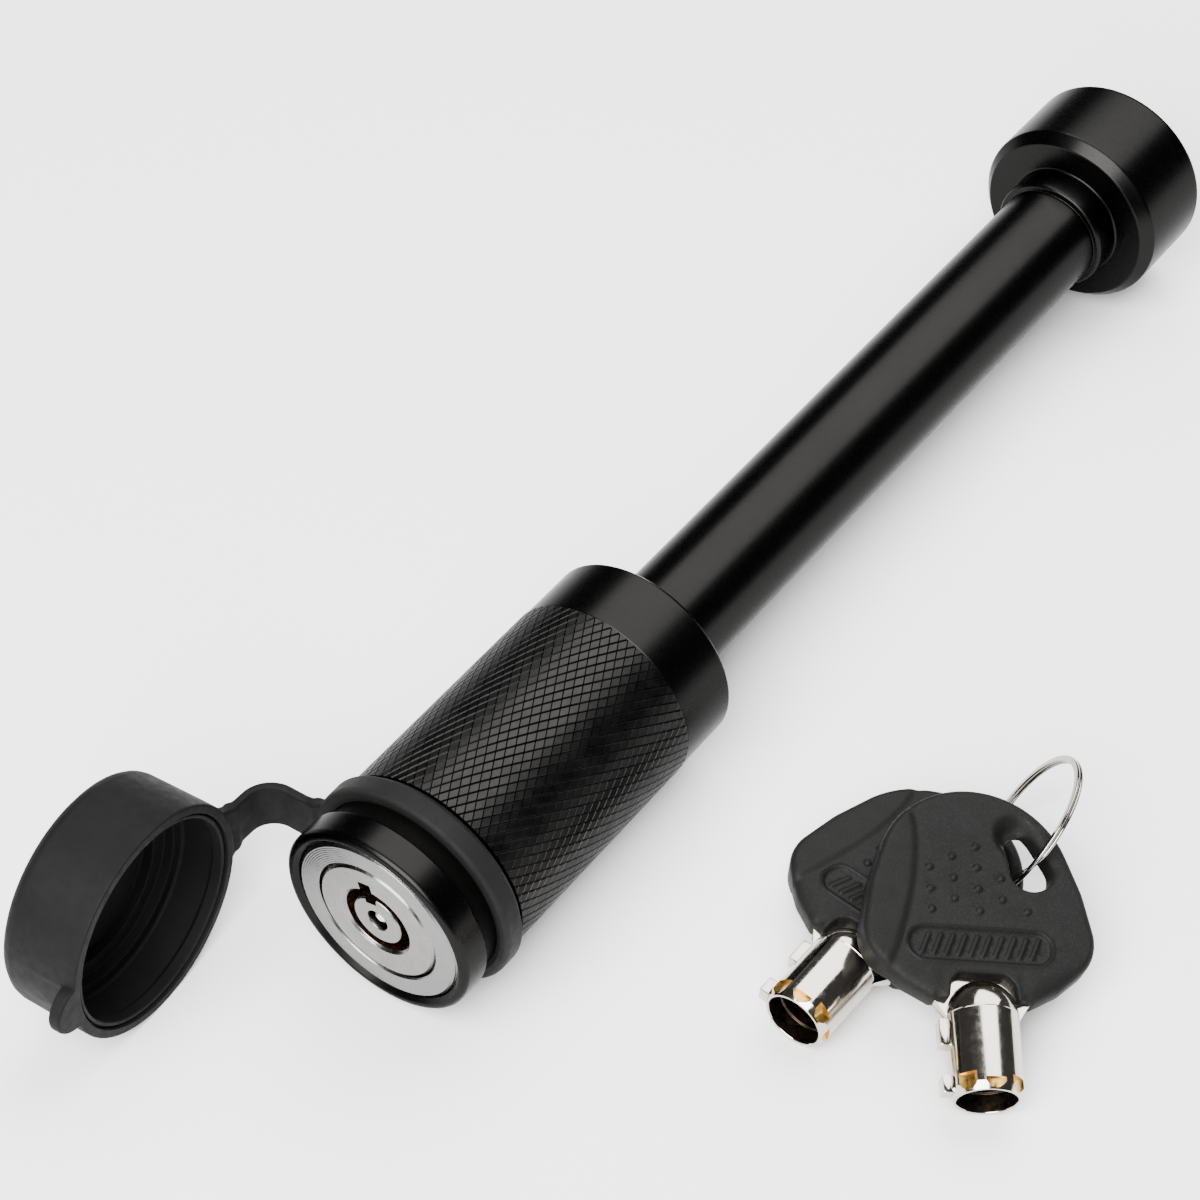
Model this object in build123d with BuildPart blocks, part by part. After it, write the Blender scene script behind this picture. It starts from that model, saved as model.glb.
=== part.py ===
from build123d import *
import os
from math import cos, radians, sin

os.makedirs("parts", exist_ok=True)

# Receiver hitch pin with a push-on lock head, its tethered dust cap and two tubular keys.
# The shank lies along +X from the fixed head to the lock's face.  The origin is on the
# shank's axis, where the shank leaves its collar.  +Z is up and the set lies on z = FLOOR.

# ---------------------------------------------------------------- driving dimensions
FLOOR = -15.6
SEATED = 0.02  # radial gap of a piece that is pressed or held in its place
RUNNING = 0.05  # radial or end gap of a piece that turns or slides

# hitch pin
SHANK_R = 7.9375
SHANK_END = 105.5
SPIGOT_R = 7.3
SPIGOT_END = 126.0
COLLAR_R = 8.9
COLLAR_LENGTH = 4.7
HEAD_R = 14.7
HEAD_FACE_R = 13.3
HEAD_SLOPE = 1.7
HEAD_BACK = -20.4

# lock head: stations along X
LOCK_REAR = 105.6
BAND_END = 115.8
KNURL_END = 152.0
GROOVE_END = 158.9
FACE = 163.4
LOCK_R = 14.5
REAR_BEVEL = 0.7
KNURL_R = 14.62
GROOVE_R = 13.55
REAR_BORE_R = 12.6
REAR_BORE_END = 133.5
FRONT_BORE_R = 12.7
FRONT_BORE_START = 153.9
CYLINDER_R = 9.2
INSERT_FACE = 163.1

# balls, their carrier and the cam around it
BALL_X = 118.0
BALL_R = 2.0
BALL_REST_R = 9.65
BALL_TRAVEL = 1.6
BALL_CLEARANCE = 0.09
CARRIER_R = 9.85
CARRIER_BORE_R = 7.45
CARRIER_END = 128.9
CAM_R = 12.35
CAM_BORE_R = 10.1
CAM_START = 112.4
CAM_WALL = 129.4
CAM_END = 133.0
POCKET_CLEARANCE = 0.15
POCKET_STEPS = 12

# tubular cylinder: seven pins on a circle, one place in eight left for the keyway
KEYWAY_ANGLE = 104.5
KEYWAY_R = 5.06
POST_R = 3.81
POST_FACE = 162.9
NOTCH_WIDTH = 2.0
NOTCH_DEPTH = 1.6
POST_NOTCH = 1.75
CHAMBER_R = 6.95
CHAMBER_END = 153.8
SHEAR_X = 147.85
PIN_CIRCLE_R = 4.44
PIN_R = 0.62
PIN_HOLE_R = 0.7
PIN_PLACES = 8
PIN_FRONTS = (156.9, 157.6, 156.5, 157.9, 157.2, 156.7, 157.5)
DRIVER_START = 143.2
SPRING_START = 136.6
NECK_R = 2.85
SQUARE = 4.4

# rubber ring, strap and dust cap
RING_BORE_R = 13.62
RING_R = 15.6
RING_START = 152.4
RING_END = 156.2
CAP_R = 16.2
CAP_BORE_R = 15.2
CAP_LENGTH = 12.2
CAP_OPEN_ANGLE = 86.0
CAP_MOUTH_X = 156.4
CAP_RISE = 0.62
HINGE = (156.4, -23.5)
STRAP_WIDTH = 7.5
STRAP_THICKNESS = 1.2
STRAP_X = 155.4
STRAP_BEND_R = 4.0
TAB_R = 3.5

# keys
TUBE_R = 4.7625
TUBE_BORE_R = 3.85
TUBE_LENGTH = 11.0
TUBE_BORE_DEPTH = 10.0
BOW_HALF_THICKNESS = 2.2
BOW_TOP_R = 13.0
BOW_TOP_Y = 29.4
BOW_CORNER_R = 4.6
BOW_CORNER = (10.6, 21.3)
BOW_FOOT = (6.5, 13.4)
BOW_FOOT_R = 0.5
BOW_EDGE_R = 0.8
NOTCH_HALF_WIDTH = 4.45
NOTCH_TOP = 16.3
NOTCH_LENGTH = 8.0
NOTCH_CORNER_R = 1.2
HOLE_CENTRE = (7.4, 31.2)
HOLE_R = 2.9
HOLE_POINT = (6.4, 34.6)
HOLE_POINT_R = 2.1
BLADE_THICKNESS = 1.5
BLADE_HALF_WIDTH = 6.7
SHOULDER_Y = 13.8
BLADE_TOP = 24.0
NUBS = ((1.1, 2.9), (6.8, 10.4))
NUB_REACH = 1.05
NUB_ROOT = 0.4
NUB_WIDTH = 1.9
BIT_DEPTHS = (2.4, 1.5, 2.1, 1.3, 0.9, 1.8, 1.2)
BIT_CUTTER_R = 1.3
RING_MEAN_R = 10.16
RING_WIRE_R = 0.5
RING_CENTRE = (96.23, 55.61, -6.41)
RING_NORMAL = (0.278, -0.792, 0.544)


def turned(points, rounds=()):
    """Closed (x, radius) outline in the XZ plane; rounds lists (x, radius, fillet)."""
    with BuildSketch(Plane.XZ) as outline:
        with BuildLine():
            Polyline(*points, close=True)
        make_face()
        for x, radius, size in rounds:
            corner = outline.vertices().sort_by_distance((x, radius, 0))[0]
            fillet(corner, size)
    return outline.sketch


def at(x, radius, angle):
    """Plane square to the axis, centred at a radius and an angle from +Y towards +Z."""
    centre = (x, radius * cos(radians(angle)), radius * sin(radians(angle)))
    return Plane(origin=centre, x_dir=(0, 1, 0), z_dir=(1, 0, 0))


def outward(x, radius, angle):
    """Plane whose normal points away from the axis at an angle from +Y towards +Z."""
    normal = (0, cos(radians(angle)), sin(radians(angle)))
    return Plane(origin=(x, radius * normal[1], radius * normal[2]), x_dir=(1, 0, 0), z_dir=normal)


def pin_angles():
    """The seven pin places, an eighth of a turn apart, starting beside the keyway."""
    step = 360 / PIN_PLACES
    return [KEYWAY_ANGLE + step * place for place in range(1, PIN_PLACES)]


# ---------------------------------------------------------------- hitch pin
with BuildPart() as hitch_pin:
    head_front = -COLLAR_LENGTH
    slope_back = head_front - HEAD_SLOPE
    revolve(
        turned(
            [
                (HEAD_BACK, 0),
                (HEAD_BACK, HEAD_R),
                (slope_back, HEAD_R),
                (head_front, HEAD_FACE_R),
                (head_front, COLLAR_R),
                (0, COLLAR_R),
                (0, SHANK_R),
                (SHANK_END, SHANK_R),
                (SHANK_END, SPIGOT_R),
                (SPIGOT_END, SPIGOT_R),
                (SPIGOT_END, 0),
            ],
            rounds=[
                (HEAD_BACK, HEAD_R, 0.8),
                (slope_back, HEAD_R, 0.6),
                (head_front, HEAD_FACE_R, 0.5),
                (0, COLLAR_R, 0.5),
                (SPIGOT_END, SPIGOT_R, 1.5),
            ],
        ),
        axis=Axis.X,
    )
    with BuildSketch(Plane.XZ):
        with Locations((BALL_X, BALL_REST_R - BALL_TRAVEL)):
            Circle(BALL_R + BALL_CLEARANCE)
    revolve(axis=Axis.X, mode=Mode.SUBTRACT)
hitch_pin.part.label = "hitch_pin"
export_step(hitch_pin.part, "parts/hitch_pin.step")

# ---------------------------------------------------------------- shaft seal
SEAL_X = 107.25
SEAL_SECTION_R = 0.8
SEAL_GAP = 0.04
SEAL_RING_R = SPIGOT_R + SEAL_GAP + SEAL_SECTION_R
with BuildPart(Plane(origin=(SEAL_X, 0, 0), z_dir=(1, 0, 0))) as shaft_seal:
    Torus(SEAL_RING_R, SEAL_SECTION_R)
shaft_seal.part.label = "shaft_seal"
export_step(shaft_seal.part, "parts/shaft_seal.step")

# ---------------------------------------------------------------- lock housing
DOWEL_R = 0.9
DOWEL_CIRCLE_R = 11.0
DOWEL_START = 151.5
DOWEL_END = 156.0
with BuildPart() as lock_housing:
    revolve(
        turned(
            [
                (LOCK_REAR, REAR_BORE_R),
                (LOCK_REAR, LOCK_R - REAR_BEVEL),
                (LOCK_REAR + REAR_BEVEL, LOCK_R),
                (BAND_END, LOCK_R),
                (BAND_END, KNURL_R),
                (KNURL_END, KNURL_R),
                (KNURL_END, GROOVE_R),
                (GROOVE_END, GROOVE_R),
                (GROOVE_END, LOCK_R),
                (FACE, LOCK_R),
                (FACE, FRONT_BORE_R),
                (FRONT_BORE_START, FRONT_BORE_R),
                (FRONT_BORE_START, CYLINDER_R + RUNNING),
                (REAR_BORE_END, CYLINDER_R + RUNNING),
                (REAR_BORE_END, REAR_BORE_R),
            ],
            rounds=[
                (LOCK_REAR + REAR_BEVEL, LOCK_R, 0.4),
                (GROOVE_END, LOCK_R, 0.25),
                (FACE, LOCK_R, 0.6),
                (FACE, FRONT_BORE_R, 0.2),
            ],
        ),
        axis=Axis.X,
    )
    with BuildSketch(at(DOWEL_START - 0.1, DOWEL_CIRCLE_R, -90)):
        Circle(DOWEL_R)
    extrude(amount=FRONT_BORE_START - DOWEL_START + 0.2, mode=Mode.SUBTRACT)
lock_housing.part.label = "lock_housing"
export_step(lock_housing.part, "parts/lock_housing.step")

# ---------------------------------------------------------------- ball carrier
CARRIER_START = LOCK_REAR + 0.4
FLANGE_END = CAM_START - 0.4
SEAL_GROOVE_R = SEAL_RING_R + SEAL_SECTION_R + SEAL_GAP
with BuildPart() as ball_carrier:
    revolve(
        turned(
            [
                (CARRIER_START, CARRIER_BORE_R),
                (CARRIER_START, REAR_BORE_R - SEATED),
                (FLANGE_END, REAR_BORE_R - SEATED),
                (FLANGE_END, CARRIER_R),
                (CARRIER_END, CARRIER_R),
                (CARRIER_END, CARRIER_BORE_R),
                (SEAL_X + SEAL_SECTION_R + RUNNING, CARRIER_BORE_R),
                (SEAL_X + SEAL_SECTION_R + RUNNING, SEAL_GROOVE_R),
                (SEAL_X - SEAL_SECTION_R - RUNNING, SEAL_GROOVE_R),
                (SEAL_X - SEAL_SECTION_R - RUNNING, CARRIER_BORE_R),
            ],
            rounds=[(CARRIER_START, REAR_BORE_R - SEATED, 0.3)],
        ),
        axis=Axis.X,
    )
    with BuildSketch(Plane.XY):
        with Locations((BALL_X, 0)):
            Circle(BALL_R + BALL_CLEARANCE)
    extrude(amount=CARRIER_R + 1, both=True, mode=Mode.SUBTRACT)
ball_carrier.part.label = "ball_carrier"
export_step(ball_carrier.part, "parts/ball_carrier.step")

# ---------------------------------------------------------------- locking balls
for ball_name, side in (("locking_ball_a", 1), ("locking_ball_b", -1)):
    with BuildPart(Plane(origin=(BALL_X, 0, side * BALL_REST_R))) as locking_ball:
        Sphere(BALL_R)
    locking_ball.part.label = ball_name
    export_step(locking_ball.part, f"parts/{ball_name}.step")

# ---------------------------------------------------------------- cam cup
# The plug turns clockwise from the front.  Seen from the cam each ball then runs the other
# way round and inwards, so its pocket is a spiral of sphere cuts.
with BuildPart() as cam_cup:
    revolve(
        turned(
            [
                (CAM_START, CAM_BORE_R),
                (CAM_START, CAM_R),
                (CAM_END, CAM_R),
                (CAM_END, 0),
                (CAM_WALL, 0),
                (CAM_WALL, CAM_BORE_R),
            ]
        ),
        axis=Axis.X,
    )
    with BuildSketch(at(CAM_WALL, 0, 0)):
        Rectangle(SQUARE + 2 * RUNNING, SQUARE + 2 * RUNNING)
    extrude(amount=CAM_END - CAM_WALL, mode=Mode.SUBTRACT)
    for first_angle in (90, 270):
        for step in range(POCKET_STEPS + 1):
            turn = 90 * step / POCKET_STEPS
            pocket_r = BALL_REST_R - BALL_TRAVEL * turn / 90
            pocket = at(BALL_X, pocket_r, first_angle + turn).origin
            with Locations(pocket):
                Sphere(BALL_R + POCKET_CLEARANCE, mode=Mode.SUBTRACT)
cam_cup.part.label = "cam_cup"
export_step(cam_cup.part, "parts/cam_cup.step")

# ---------------------------------------------------------------- cylinder shell
ANCHOR_X = 139.0
ANCHOR_R = 0.75
ANCHOR_ANGLE = KEYWAY_ANGLE
ANCHOR_FOOT = 5.6
ORING_X = 157.2
ORING_SECTION_R = 0.5
ORING_RING_R = FRONT_BORE_R - 0.04 - ORING_SECTION_R
ORING_GROOVE_HALF = 0.6
ORING_GROOVE_DEPTH = 1.0
FLANGE_R = FRONT_BORE_R - 0.1
SHELL_SHOULDER = 158.5
KEYWAY_START = 155.0
with BuildPart() as cylinder_shell:
    revolve(
        turned(
            [
                (REAR_BORE_END + 0.2, CHAMBER_R),
                (REAR_BORE_END + 0.2, CYLINDER_R),
                (FRONT_BORE_START + RUNNING, CYLINDER_R),
                (FRONT_BORE_START + RUNNING, FLANGE_R),
                (ORING_X - ORING_GROOVE_HALF, FLANGE_R),
                (ORING_X - ORING_GROOVE_HALF, FLANGE_R - ORING_GROOVE_DEPTH),
                (ORING_X + ORING_GROOVE_HALF, FLANGE_R - ORING_GROOVE_DEPTH),
                (ORING_X + ORING_GROOVE_HALF, FLANGE_R),
                (SHELL_SHOULDER, FLANGE_R),
                (SHELL_SHOULDER, CYLINDER_R),
                (INSERT_FACE, CYLINDER_R),
                (INSERT_FACE, KEYWAY_R),
                (CHAMBER_END, KEYWAY_R),
                (CHAMBER_END, CHAMBER_R),
            ],
            rounds=[(INSERT_FACE, CYLINDER_R, 0.15), (INSERT_FACE, KEYWAY_R, 0.2)],
        ),
        axis=Axis.X,
    )
    with BuildSketch(at(KEYWAY_START, KEYWAY_R + NOTCH_DEPTH - NOTCH_WIDTH / 2, KEYWAY_ANGLE)):
        Rectangle(NOTCH_WIDTH, NOTCH_WIDTH, rotation=KEYWAY_ANGLE)
    extrude(amount=INSERT_FACE - KEYWAY_START + 1, mode=Mode.SUBTRACT)
    with BuildSketch(at(FRONT_BORE_START, DOWEL_CIRCLE_R, -90)):
        Circle(DOWEL_R)
    extrude(amount=DOWEL_END - FRONT_BORE_START + 0.1, mode=Mode.SUBTRACT)
    with BuildSketch(outward(ANCHOR_X, ANCHOR_FOOT, ANCHOR_ANGLE)):
        Circle(ANCHOR_R)
    extrude(amount=CYLINDER_R, mode=Mode.SUBTRACT)
cylinder_shell.part.label = "cylinder_shell"
export_step(cylinder_shell.part, "parts/cylinder_shell.step")

# ---------------------------------------------------------------- face ring
FACE_RING_BORE_R = CYLINDER_R + 0.08
FACE_BEVEL = 0.5
with BuildPart() as face_ring:
    revolve(
        turned(
            [
                (SHELL_SHOULDER + RUNNING, FACE_RING_BORE_R),
                (SHELL_SHOULDER + RUNNING, FRONT_BORE_R - SEATED),
                (INSERT_FACE - FACE_BEVEL, FRONT_BORE_R - SEATED),
                (INSERT_FACE, FRONT_BORE_R - FACE_BEVEL),
                (INSERT_FACE, FACE_RING_BORE_R),
            ],
            rounds=[(INSERT_FACE, FACE_RING_BORE_R, 0.15)],
        ),
        axis=Axis.X,
    )
face_ring.part.label = "face_ring"
export_step(face_ring.part, "parts/face_ring.step")

# ---------------------------------------------------------------- cylinder O-ring and dowel
with BuildPart(Plane(origin=(ORING_X, 0, 0), z_dir=(1, 0, 0))) as cylinder_oring:
    Torus(ORING_RING_R, ORING_SECTION_R)
cylinder_oring.part.label = "cylinder_oring"
export_step(cylinder_oring.part, "parts/cylinder_oring.step")

with BuildPart() as cylinder_dowel:
    with BuildSketch(at(DOWEL_START, DOWEL_CIRCLE_R, -90)):
        Circle(DOWEL_R - SEATED)
    extrude(amount=DOWEL_END - DOWEL_START)
    chamfer(cylinder_dowel.edges().filter_by(GeomType.CIRCLE), 0.15)
cylinder_dowel.part.label = "cylinder_dowel"
export_step(cylinder_dowel.part, "parts/cylinder_dowel.step")

# ---------------------------------------------------------------- driver bushing
BUSHING_START = REAR_BORE_END + 0.5
with BuildPart() as driver_bushing:
    revolve(
        turned(
            [
                (BUSHING_START, NECK_R + RUNNING),
                (BUSHING_START, CHAMBER_R - SEATED),
                (SHEAR_X - RUNNING, CHAMBER_R - SEATED),
                (SHEAR_X - RUNNING, NECK_R + RUNNING),
            ]
        ),
        axis=Axis.X,
    )
    for angle in pin_angles():
        with BuildSketch(at(SPRING_START, PIN_CIRCLE_R, angle)):
            Circle(PIN_HOLE_R)
        extrude(amount=SHEAR_X - SPRING_START, mode=Mode.SUBTRACT)
    with BuildSketch(outward(ANCHOR_X, ANCHOR_FOOT - RUNNING, ANCHOR_ANGLE)):
        Circle(ANCHOR_R)
    extrude(amount=CHAMBER_R, mode=Mode.SUBTRACT)
driver_bushing.part.label = "driver_bushing"
export_step(driver_bushing.part, "parts/driver_bushing.step")

with BuildPart() as anchor_pin:
    with BuildSketch(outward(ANCHOR_X, ANCHOR_FOOT, ANCHOR_ANGLE)):
        Circle(ANCHOR_R - SEATED)
    extrude(amount=CYLINDER_R - 0.15 - ANCHOR_FOOT)
anchor_pin.part.label = "anchor_pin"
export_step(anchor_pin.part, "parts/anchor_pin.step")

# ---------------------------------------------------------------- rotor spindle
SPINDLE_END = 127.6
CLIP_START = 128.3
CLIP_END = 129.0
TAIL_R = 1.9
CLIP_NECK_R = TAIL_R - 0.4
CLIP_R = 3.4
CLIP_GAP = 2.2
CENTRE_HOLE_R = 1.58
CENTRE_HOLE_START = 156.0
DRILL_PIN_R = 1.1
DRILL_PIN_START = 150.0
DRILL_PIN_END = 162.4
NECK_START = CAM_END + 0.3
ROTOR_R = CHAMBER_R - 0.06
ROTOR_END = CHAMBER_END - 0.1
PIN_GROOVE_LENGTH = 6.0
with BuildPart() as rotor_spindle:
    revolve(
        turned(
            [
                (SPINDLE_END, 0),
                (SPINDLE_END, TAIL_R),
                (CLIP_START, TAIL_R),
                (CLIP_START, CLIP_NECK_R),
                (CLIP_END, CLIP_NECK_R),
                (CLIP_END, TAIL_R),
                (NECK_START, TAIL_R),
                (NECK_START, NECK_R),
                (SHEAR_X + RUNNING, NECK_R),
                (SHEAR_X + RUNNING, ROTOR_R),
                (ROTOR_END, ROTOR_R),
                (ROTOR_END, POST_R),
                (POST_FACE, POST_R),
                (POST_FACE, CENTRE_HOLE_R),
                (CENTRE_HOLE_START, CENTRE_HOLE_R),
                (CENTRE_HOLE_START, DRILL_PIN_R + SEATED),
                (DRILL_PIN_START, DRILL_PIN_R + SEATED),
                (DRILL_PIN_START, 0),
            ],
            rounds=[(POST_FACE, POST_R, 0.3), (POST_FACE, CENTRE_HOLE_R, 0.2)],
        ),
        axis=Axis.X,
    )
    with BuildSketch(at(CAM_WALL, 0, 0)):
        Rectangle(SQUARE, SQUARE)
    extrude(amount=NECK_START - CAM_WALL)
    for angle in pin_angles():
        with BuildSketch(at(SHEAR_X, PIN_CIRCLE_R, angle)):
            Circle(PIN_HOLE_R)
        extrude(amount=CHAMBER_END - SHEAR_X, mode=Mode.SUBTRACT)
        with BuildSketch(at(CHAMBER_END - 0.2, PIN_CIRCLE_R, angle)):
            Circle(PIN_HOLE_R)
        extrude(amount=PIN_GROOVE_LENGTH, mode=Mode.SUBTRACT)
    with BuildSketch(at(KEYWAY_START, POST_R, KEYWAY_ANGLE)):
        Rectangle(POST_NOTCH, POST_NOTCH, rotation=KEYWAY_ANGLE)
    extrude(amount=POST_FACE - KEYWAY_START + 1, mode=Mode.SUBTRACT)
rotor_spindle.part.label = "rotor_spindle"
export_step(rotor_spindle.part, "parts/rotor_spindle.step")

with BuildPart() as drill_pin:
    revolve(
        turned(
            [
                (DRILL_PIN_START + 0.1, 0),
                (DRILL_PIN_START + 0.1, DRILL_PIN_R),
                (DRILL_PIN_END, DRILL_PIN_R),
                (DRILL_PIN_END, 0),
            ],
            rounds=[(DRILL_PIN_END, DRILL_PIN_R, 0.8)],
        ),
        axis=Axis.X,
    )
drill_pin.part.label = "drill_pin"
export_step(drill_pin.part, "parts/drill_pin.step")

with BuildPart() as spindle_clip:
    with BuildSketch(at(CLIP_START + RUNNING, 0, 0)):
        Circle(CLIP_R)
        Circle(CLIP_NECK_R + RUNNING, mode=Mode.SUBTRACT)
        with Locations((0, -CLIP_R)):
            Rectangle(CLIP_GAP, 2 * (CLIP_R - 0.9), mode=Mode.SUBTRACT)
    extrude(amount=CLIP_END - CLIP_START - 2 * RUNNING)
spindle_clip.part.label = "spindle_clip"
export_step(spindle_clip.part, "parts/spindle_clip.step")

# ---------------------------------------------------------------- key pins, drivers, springs
SHEAR_GAP = 0.1
SPRING_WALL = 0.2
with BuildPart() as key_pins:
    for angle, front in zip(pin_angles(), PIN_FRONTS):
        with BuildSketch(at(SHEAR_X + SHEAR_GAP, PIN_CIRCLE_R, angle)):
            Circle(PIN_R)
        extrude(amount=front - SHEAR_X - SHEAR_GAP)
    round_edges = key_pins.edges().filter_by(GeomType.CIRCLE)
    tips = round_edges.filter_by_position(Axis.X, min(PIN_FRONTS), max(PIN_FRONTS))
    fillet(tips, 0.25)
key_pins.part.label = "key_pins"
export_step(key_pins.part, "parts/key_pins.step")

with BuildPart() as driver_pins:
    for angle in pin_angles():
        with BuildSketch(at(DRIVER_START, PIN_CIRCLE_R, angle)):
            Circle(PIN_R)
        extrude(amount=SHEAR_X - SHEAR_GAP - DRIVER_START)
driver_pins.part.label = "driver_pins"
export_step(driver_pins.part, "parts/driver_pins.step")

with BuildPart() as pin_springs:
    for angle in pin_angles():
        with BuildSketch(at(SPRING_START + RUNNING, PIN_CIRCLE_R, angle)):
            Circle(PIN_R - SEATED)
            Circle(PIN_R - SEATED - SPRING_WALL, mode=Mode.SUBTRACT)
        extrude(amount=DRIVER_START - SPRING_START - 2 * RUNNING)
pin_springs.part.label = "pin_springs"
export_step(pin_springs.part, "parts/pin_springs.step")

# ---------------------------------------------------------------- strap ring
with BuildPart() as strap_ring:
    revolve(
        turned(
            [
                (RING_START, RING_BORE_R),
                (RING_START, RING_R),
                (RING_END, RING_R),
                (RING_END, RING_BORE_R),
            ],
            rounds=[(RING_START, RING_R, 0.6), (RING_END, RING_R, 0.6)],
        ),
        axis=Axis.X,
    )
strap_ring.part.label = "strap_ring"
export_step(strap_ring.part, "parts/strap_ring.step")

# ---------------------------------------------------------------- dust cap
# The cap is drawn where it lies open: closed, its mouth would face -X around the nose.
# Opening turns it clockwise about a nearly vertical hinge line through HINGE, and lifts its
# middle by CAP_RISE, so that the wider cap lies on the same floor as the strap ring.
open_angle = radians(CAP_OPEN_ANGLE)
mouth_from_hinge = (CAP_MOUTH_X - HINGE[0], -HINGE[1])
mouth_x = HINGE[0] + mouth_from_hinge[0] * cos(open_angle) + mouth_from_hinge[1] * sin(open_angle)
mouth_y = HINGE[1] - mouth_from_hinge[0] * sin(open_angle) + mouth_from_hinge[1] * cos(open_angle)
inwards = (cos(open_angle), -sin(open_angle), 0)
away = (sin(open_angle), cos(open_angle), 0)
mouth = (mouth_x, mouth_y, CAP_RISE)
cap_section = Plane(origin=mouth, x_dir=inwards, z_dir=(-away[0], -away[1], 0))
cap_axis = Axis(mouth, inwards)
STEP_1_DEPTH = 7.3
STEP_1_R = 13.0
STEP_2_DEPTH = 8.8
STEP_2_R = 10.7
CAP_FLOOR = 10.4
TAB_THICKNESS = 1.8
with BuildPart() as dust_cap:
    with BuildSketch(cap_section):
        with BuildLine():
            Polyline(
                (0, CAP_BORE_R),
                (0, CAP_R),
                (CAP_LENGTH, CAP_R),
                (CAP_LENGTH, 0),
                (CAP_FLOOR, 0),
                (CAP_FLOOR, STEP_2_R),
                (STEP_2_DEPTH, STEP_2_R),
                (STEP_2_DEPTH, STEP_1_R),
                (STEP_1_DEPTH, STEP_1_R),
                (STEP_1_DEPTH, CAP_BORE_R),
                close=True,
            )
        make_face()
    revolve(axis=cap_axis)
    bottom_edge = dust_cap.edges().filter_by(GeomType.CIRCLE).group_by(SortBy.RADIUS)[-1]
    fillet(bottom_edge.sort_by_distance(mouth)[-1], 1.2)
    tab_plane = Plane(origin=mouth, x_dir=away, z_dir=inwards)
    with BuildSketch(tab_plane):
        with Locations((CAP_R - 0.3, 0)):
            Circle(TAB_R)
        Circle(CAP_BORE_R + 0.3, mode=Mode.SUBTRACT)
    extrude(amount=TAB_THICKNESS)
dust_cap.part.label = "dust_cap"
export_step(dust_cap.part, "parts/dust_cap.step")

# ---------------------------------------------------------------- strap
STRAP_GAP = 0.05
strap_turn = (STRAP_X, HINGE[1] + STRAP_BEND_R - 0.95)
strap_end = (mouth_x - CAP_R - STRAP_GAP, strap_turn[1] - STRAP_BEND_R + 0.2)
with BuildPart() as cap_strap:
    with BuildSketch(Plane.XY.offset(-STRAP_WIDTH / 2)):
        with BuildLine() as strap_path:
            Line((STRAP_X, -RING_R - STRAP_GAP), strap_turn)
            RadiusArc(
                strap_turn,
                (STRAP_X + STRAP_BEND_R, strap_turn[1] - STRAP_BEND_R),
                -STRAP_BEND_R,
            )
            Line((STRAP_X + STRAP_BEND_R, strap_turn[1] - STRAP_BEND_R), strap_end)
        trace(strap_path.line, STRAP_THICKNESS)
    extrude(amount=STRAP_WIDTH)
cap_strap.part.label = "cap_strap"
export_step(cap_strap.part, "parts/cap_strap.step")


# ---------------------------------------------------------------- keys
def key_plane(tip_x, tip_y, heading, lift, roll):
    """A lying key's plane: Y from its tip to its bow, Z square to the bow, tip on the floor."""
    turn, tilt, lean = radians(heading), radians(lift), radians(roll)
    to_bow = Vector(cos(turn) * cos(tilt), sin(turn) * cos(tilt), sin(tilt))
    right = Vector(sin(turn), -cos(turn), 0)
    up = right.cross(to_bow)
    tip = (tip_x, tip_y, FLOOR + TUBE_R * cos(tilt) + SEATED)
    return Plane(
        origin=tip,
        x_dir=right * cos(lean) - up * sin(lean),
        z_dir=up * cos(lean) + right * sin(lean),
    )


def bow_outline(plane):
    """Rounded bow: one large arc, two corner arcs and a narrow foot."""
    with BuildSketch(plane) as outline:
        with Locations((0, BOW_TOP_Y)):
            Circle(BOW_TOP_R)
        with Locations(BOW_CORNER, (-BOW_CORNER[0], BOW_CORNER[1])):
            Circle(BOW_CORNER_R)
        with Locations(BOW_FOOT, (-BOW_FOOT[0], BOW_FOOT[1])):
            Circle(BOW_FOOT_R)
        make_hull()
    return outline.sketch


def tube_section(plane, clearance=0):
    """Half section of the tube's outside and round end, in the key's own plane."""
    radius = TUBE_R + clearance
    with BuildSketch(plane) as section:
        with BuildLine():
            Polyline((0, TUBE_LENGTH + radius), (0, 0), (radius, 0), (radius, TUBE_LENGTH))
            CenterArc((0, TUBE_LENGTH), radius, 0, 90)
        make_face()
    return section.sketch


key_a_plane = key_plane(133.7, 73.0, -143.3, 12.6, 9.5)
key_b_plane = key_plane(137.9, 46.75, 178.4, 0.0, 4.5)

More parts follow.
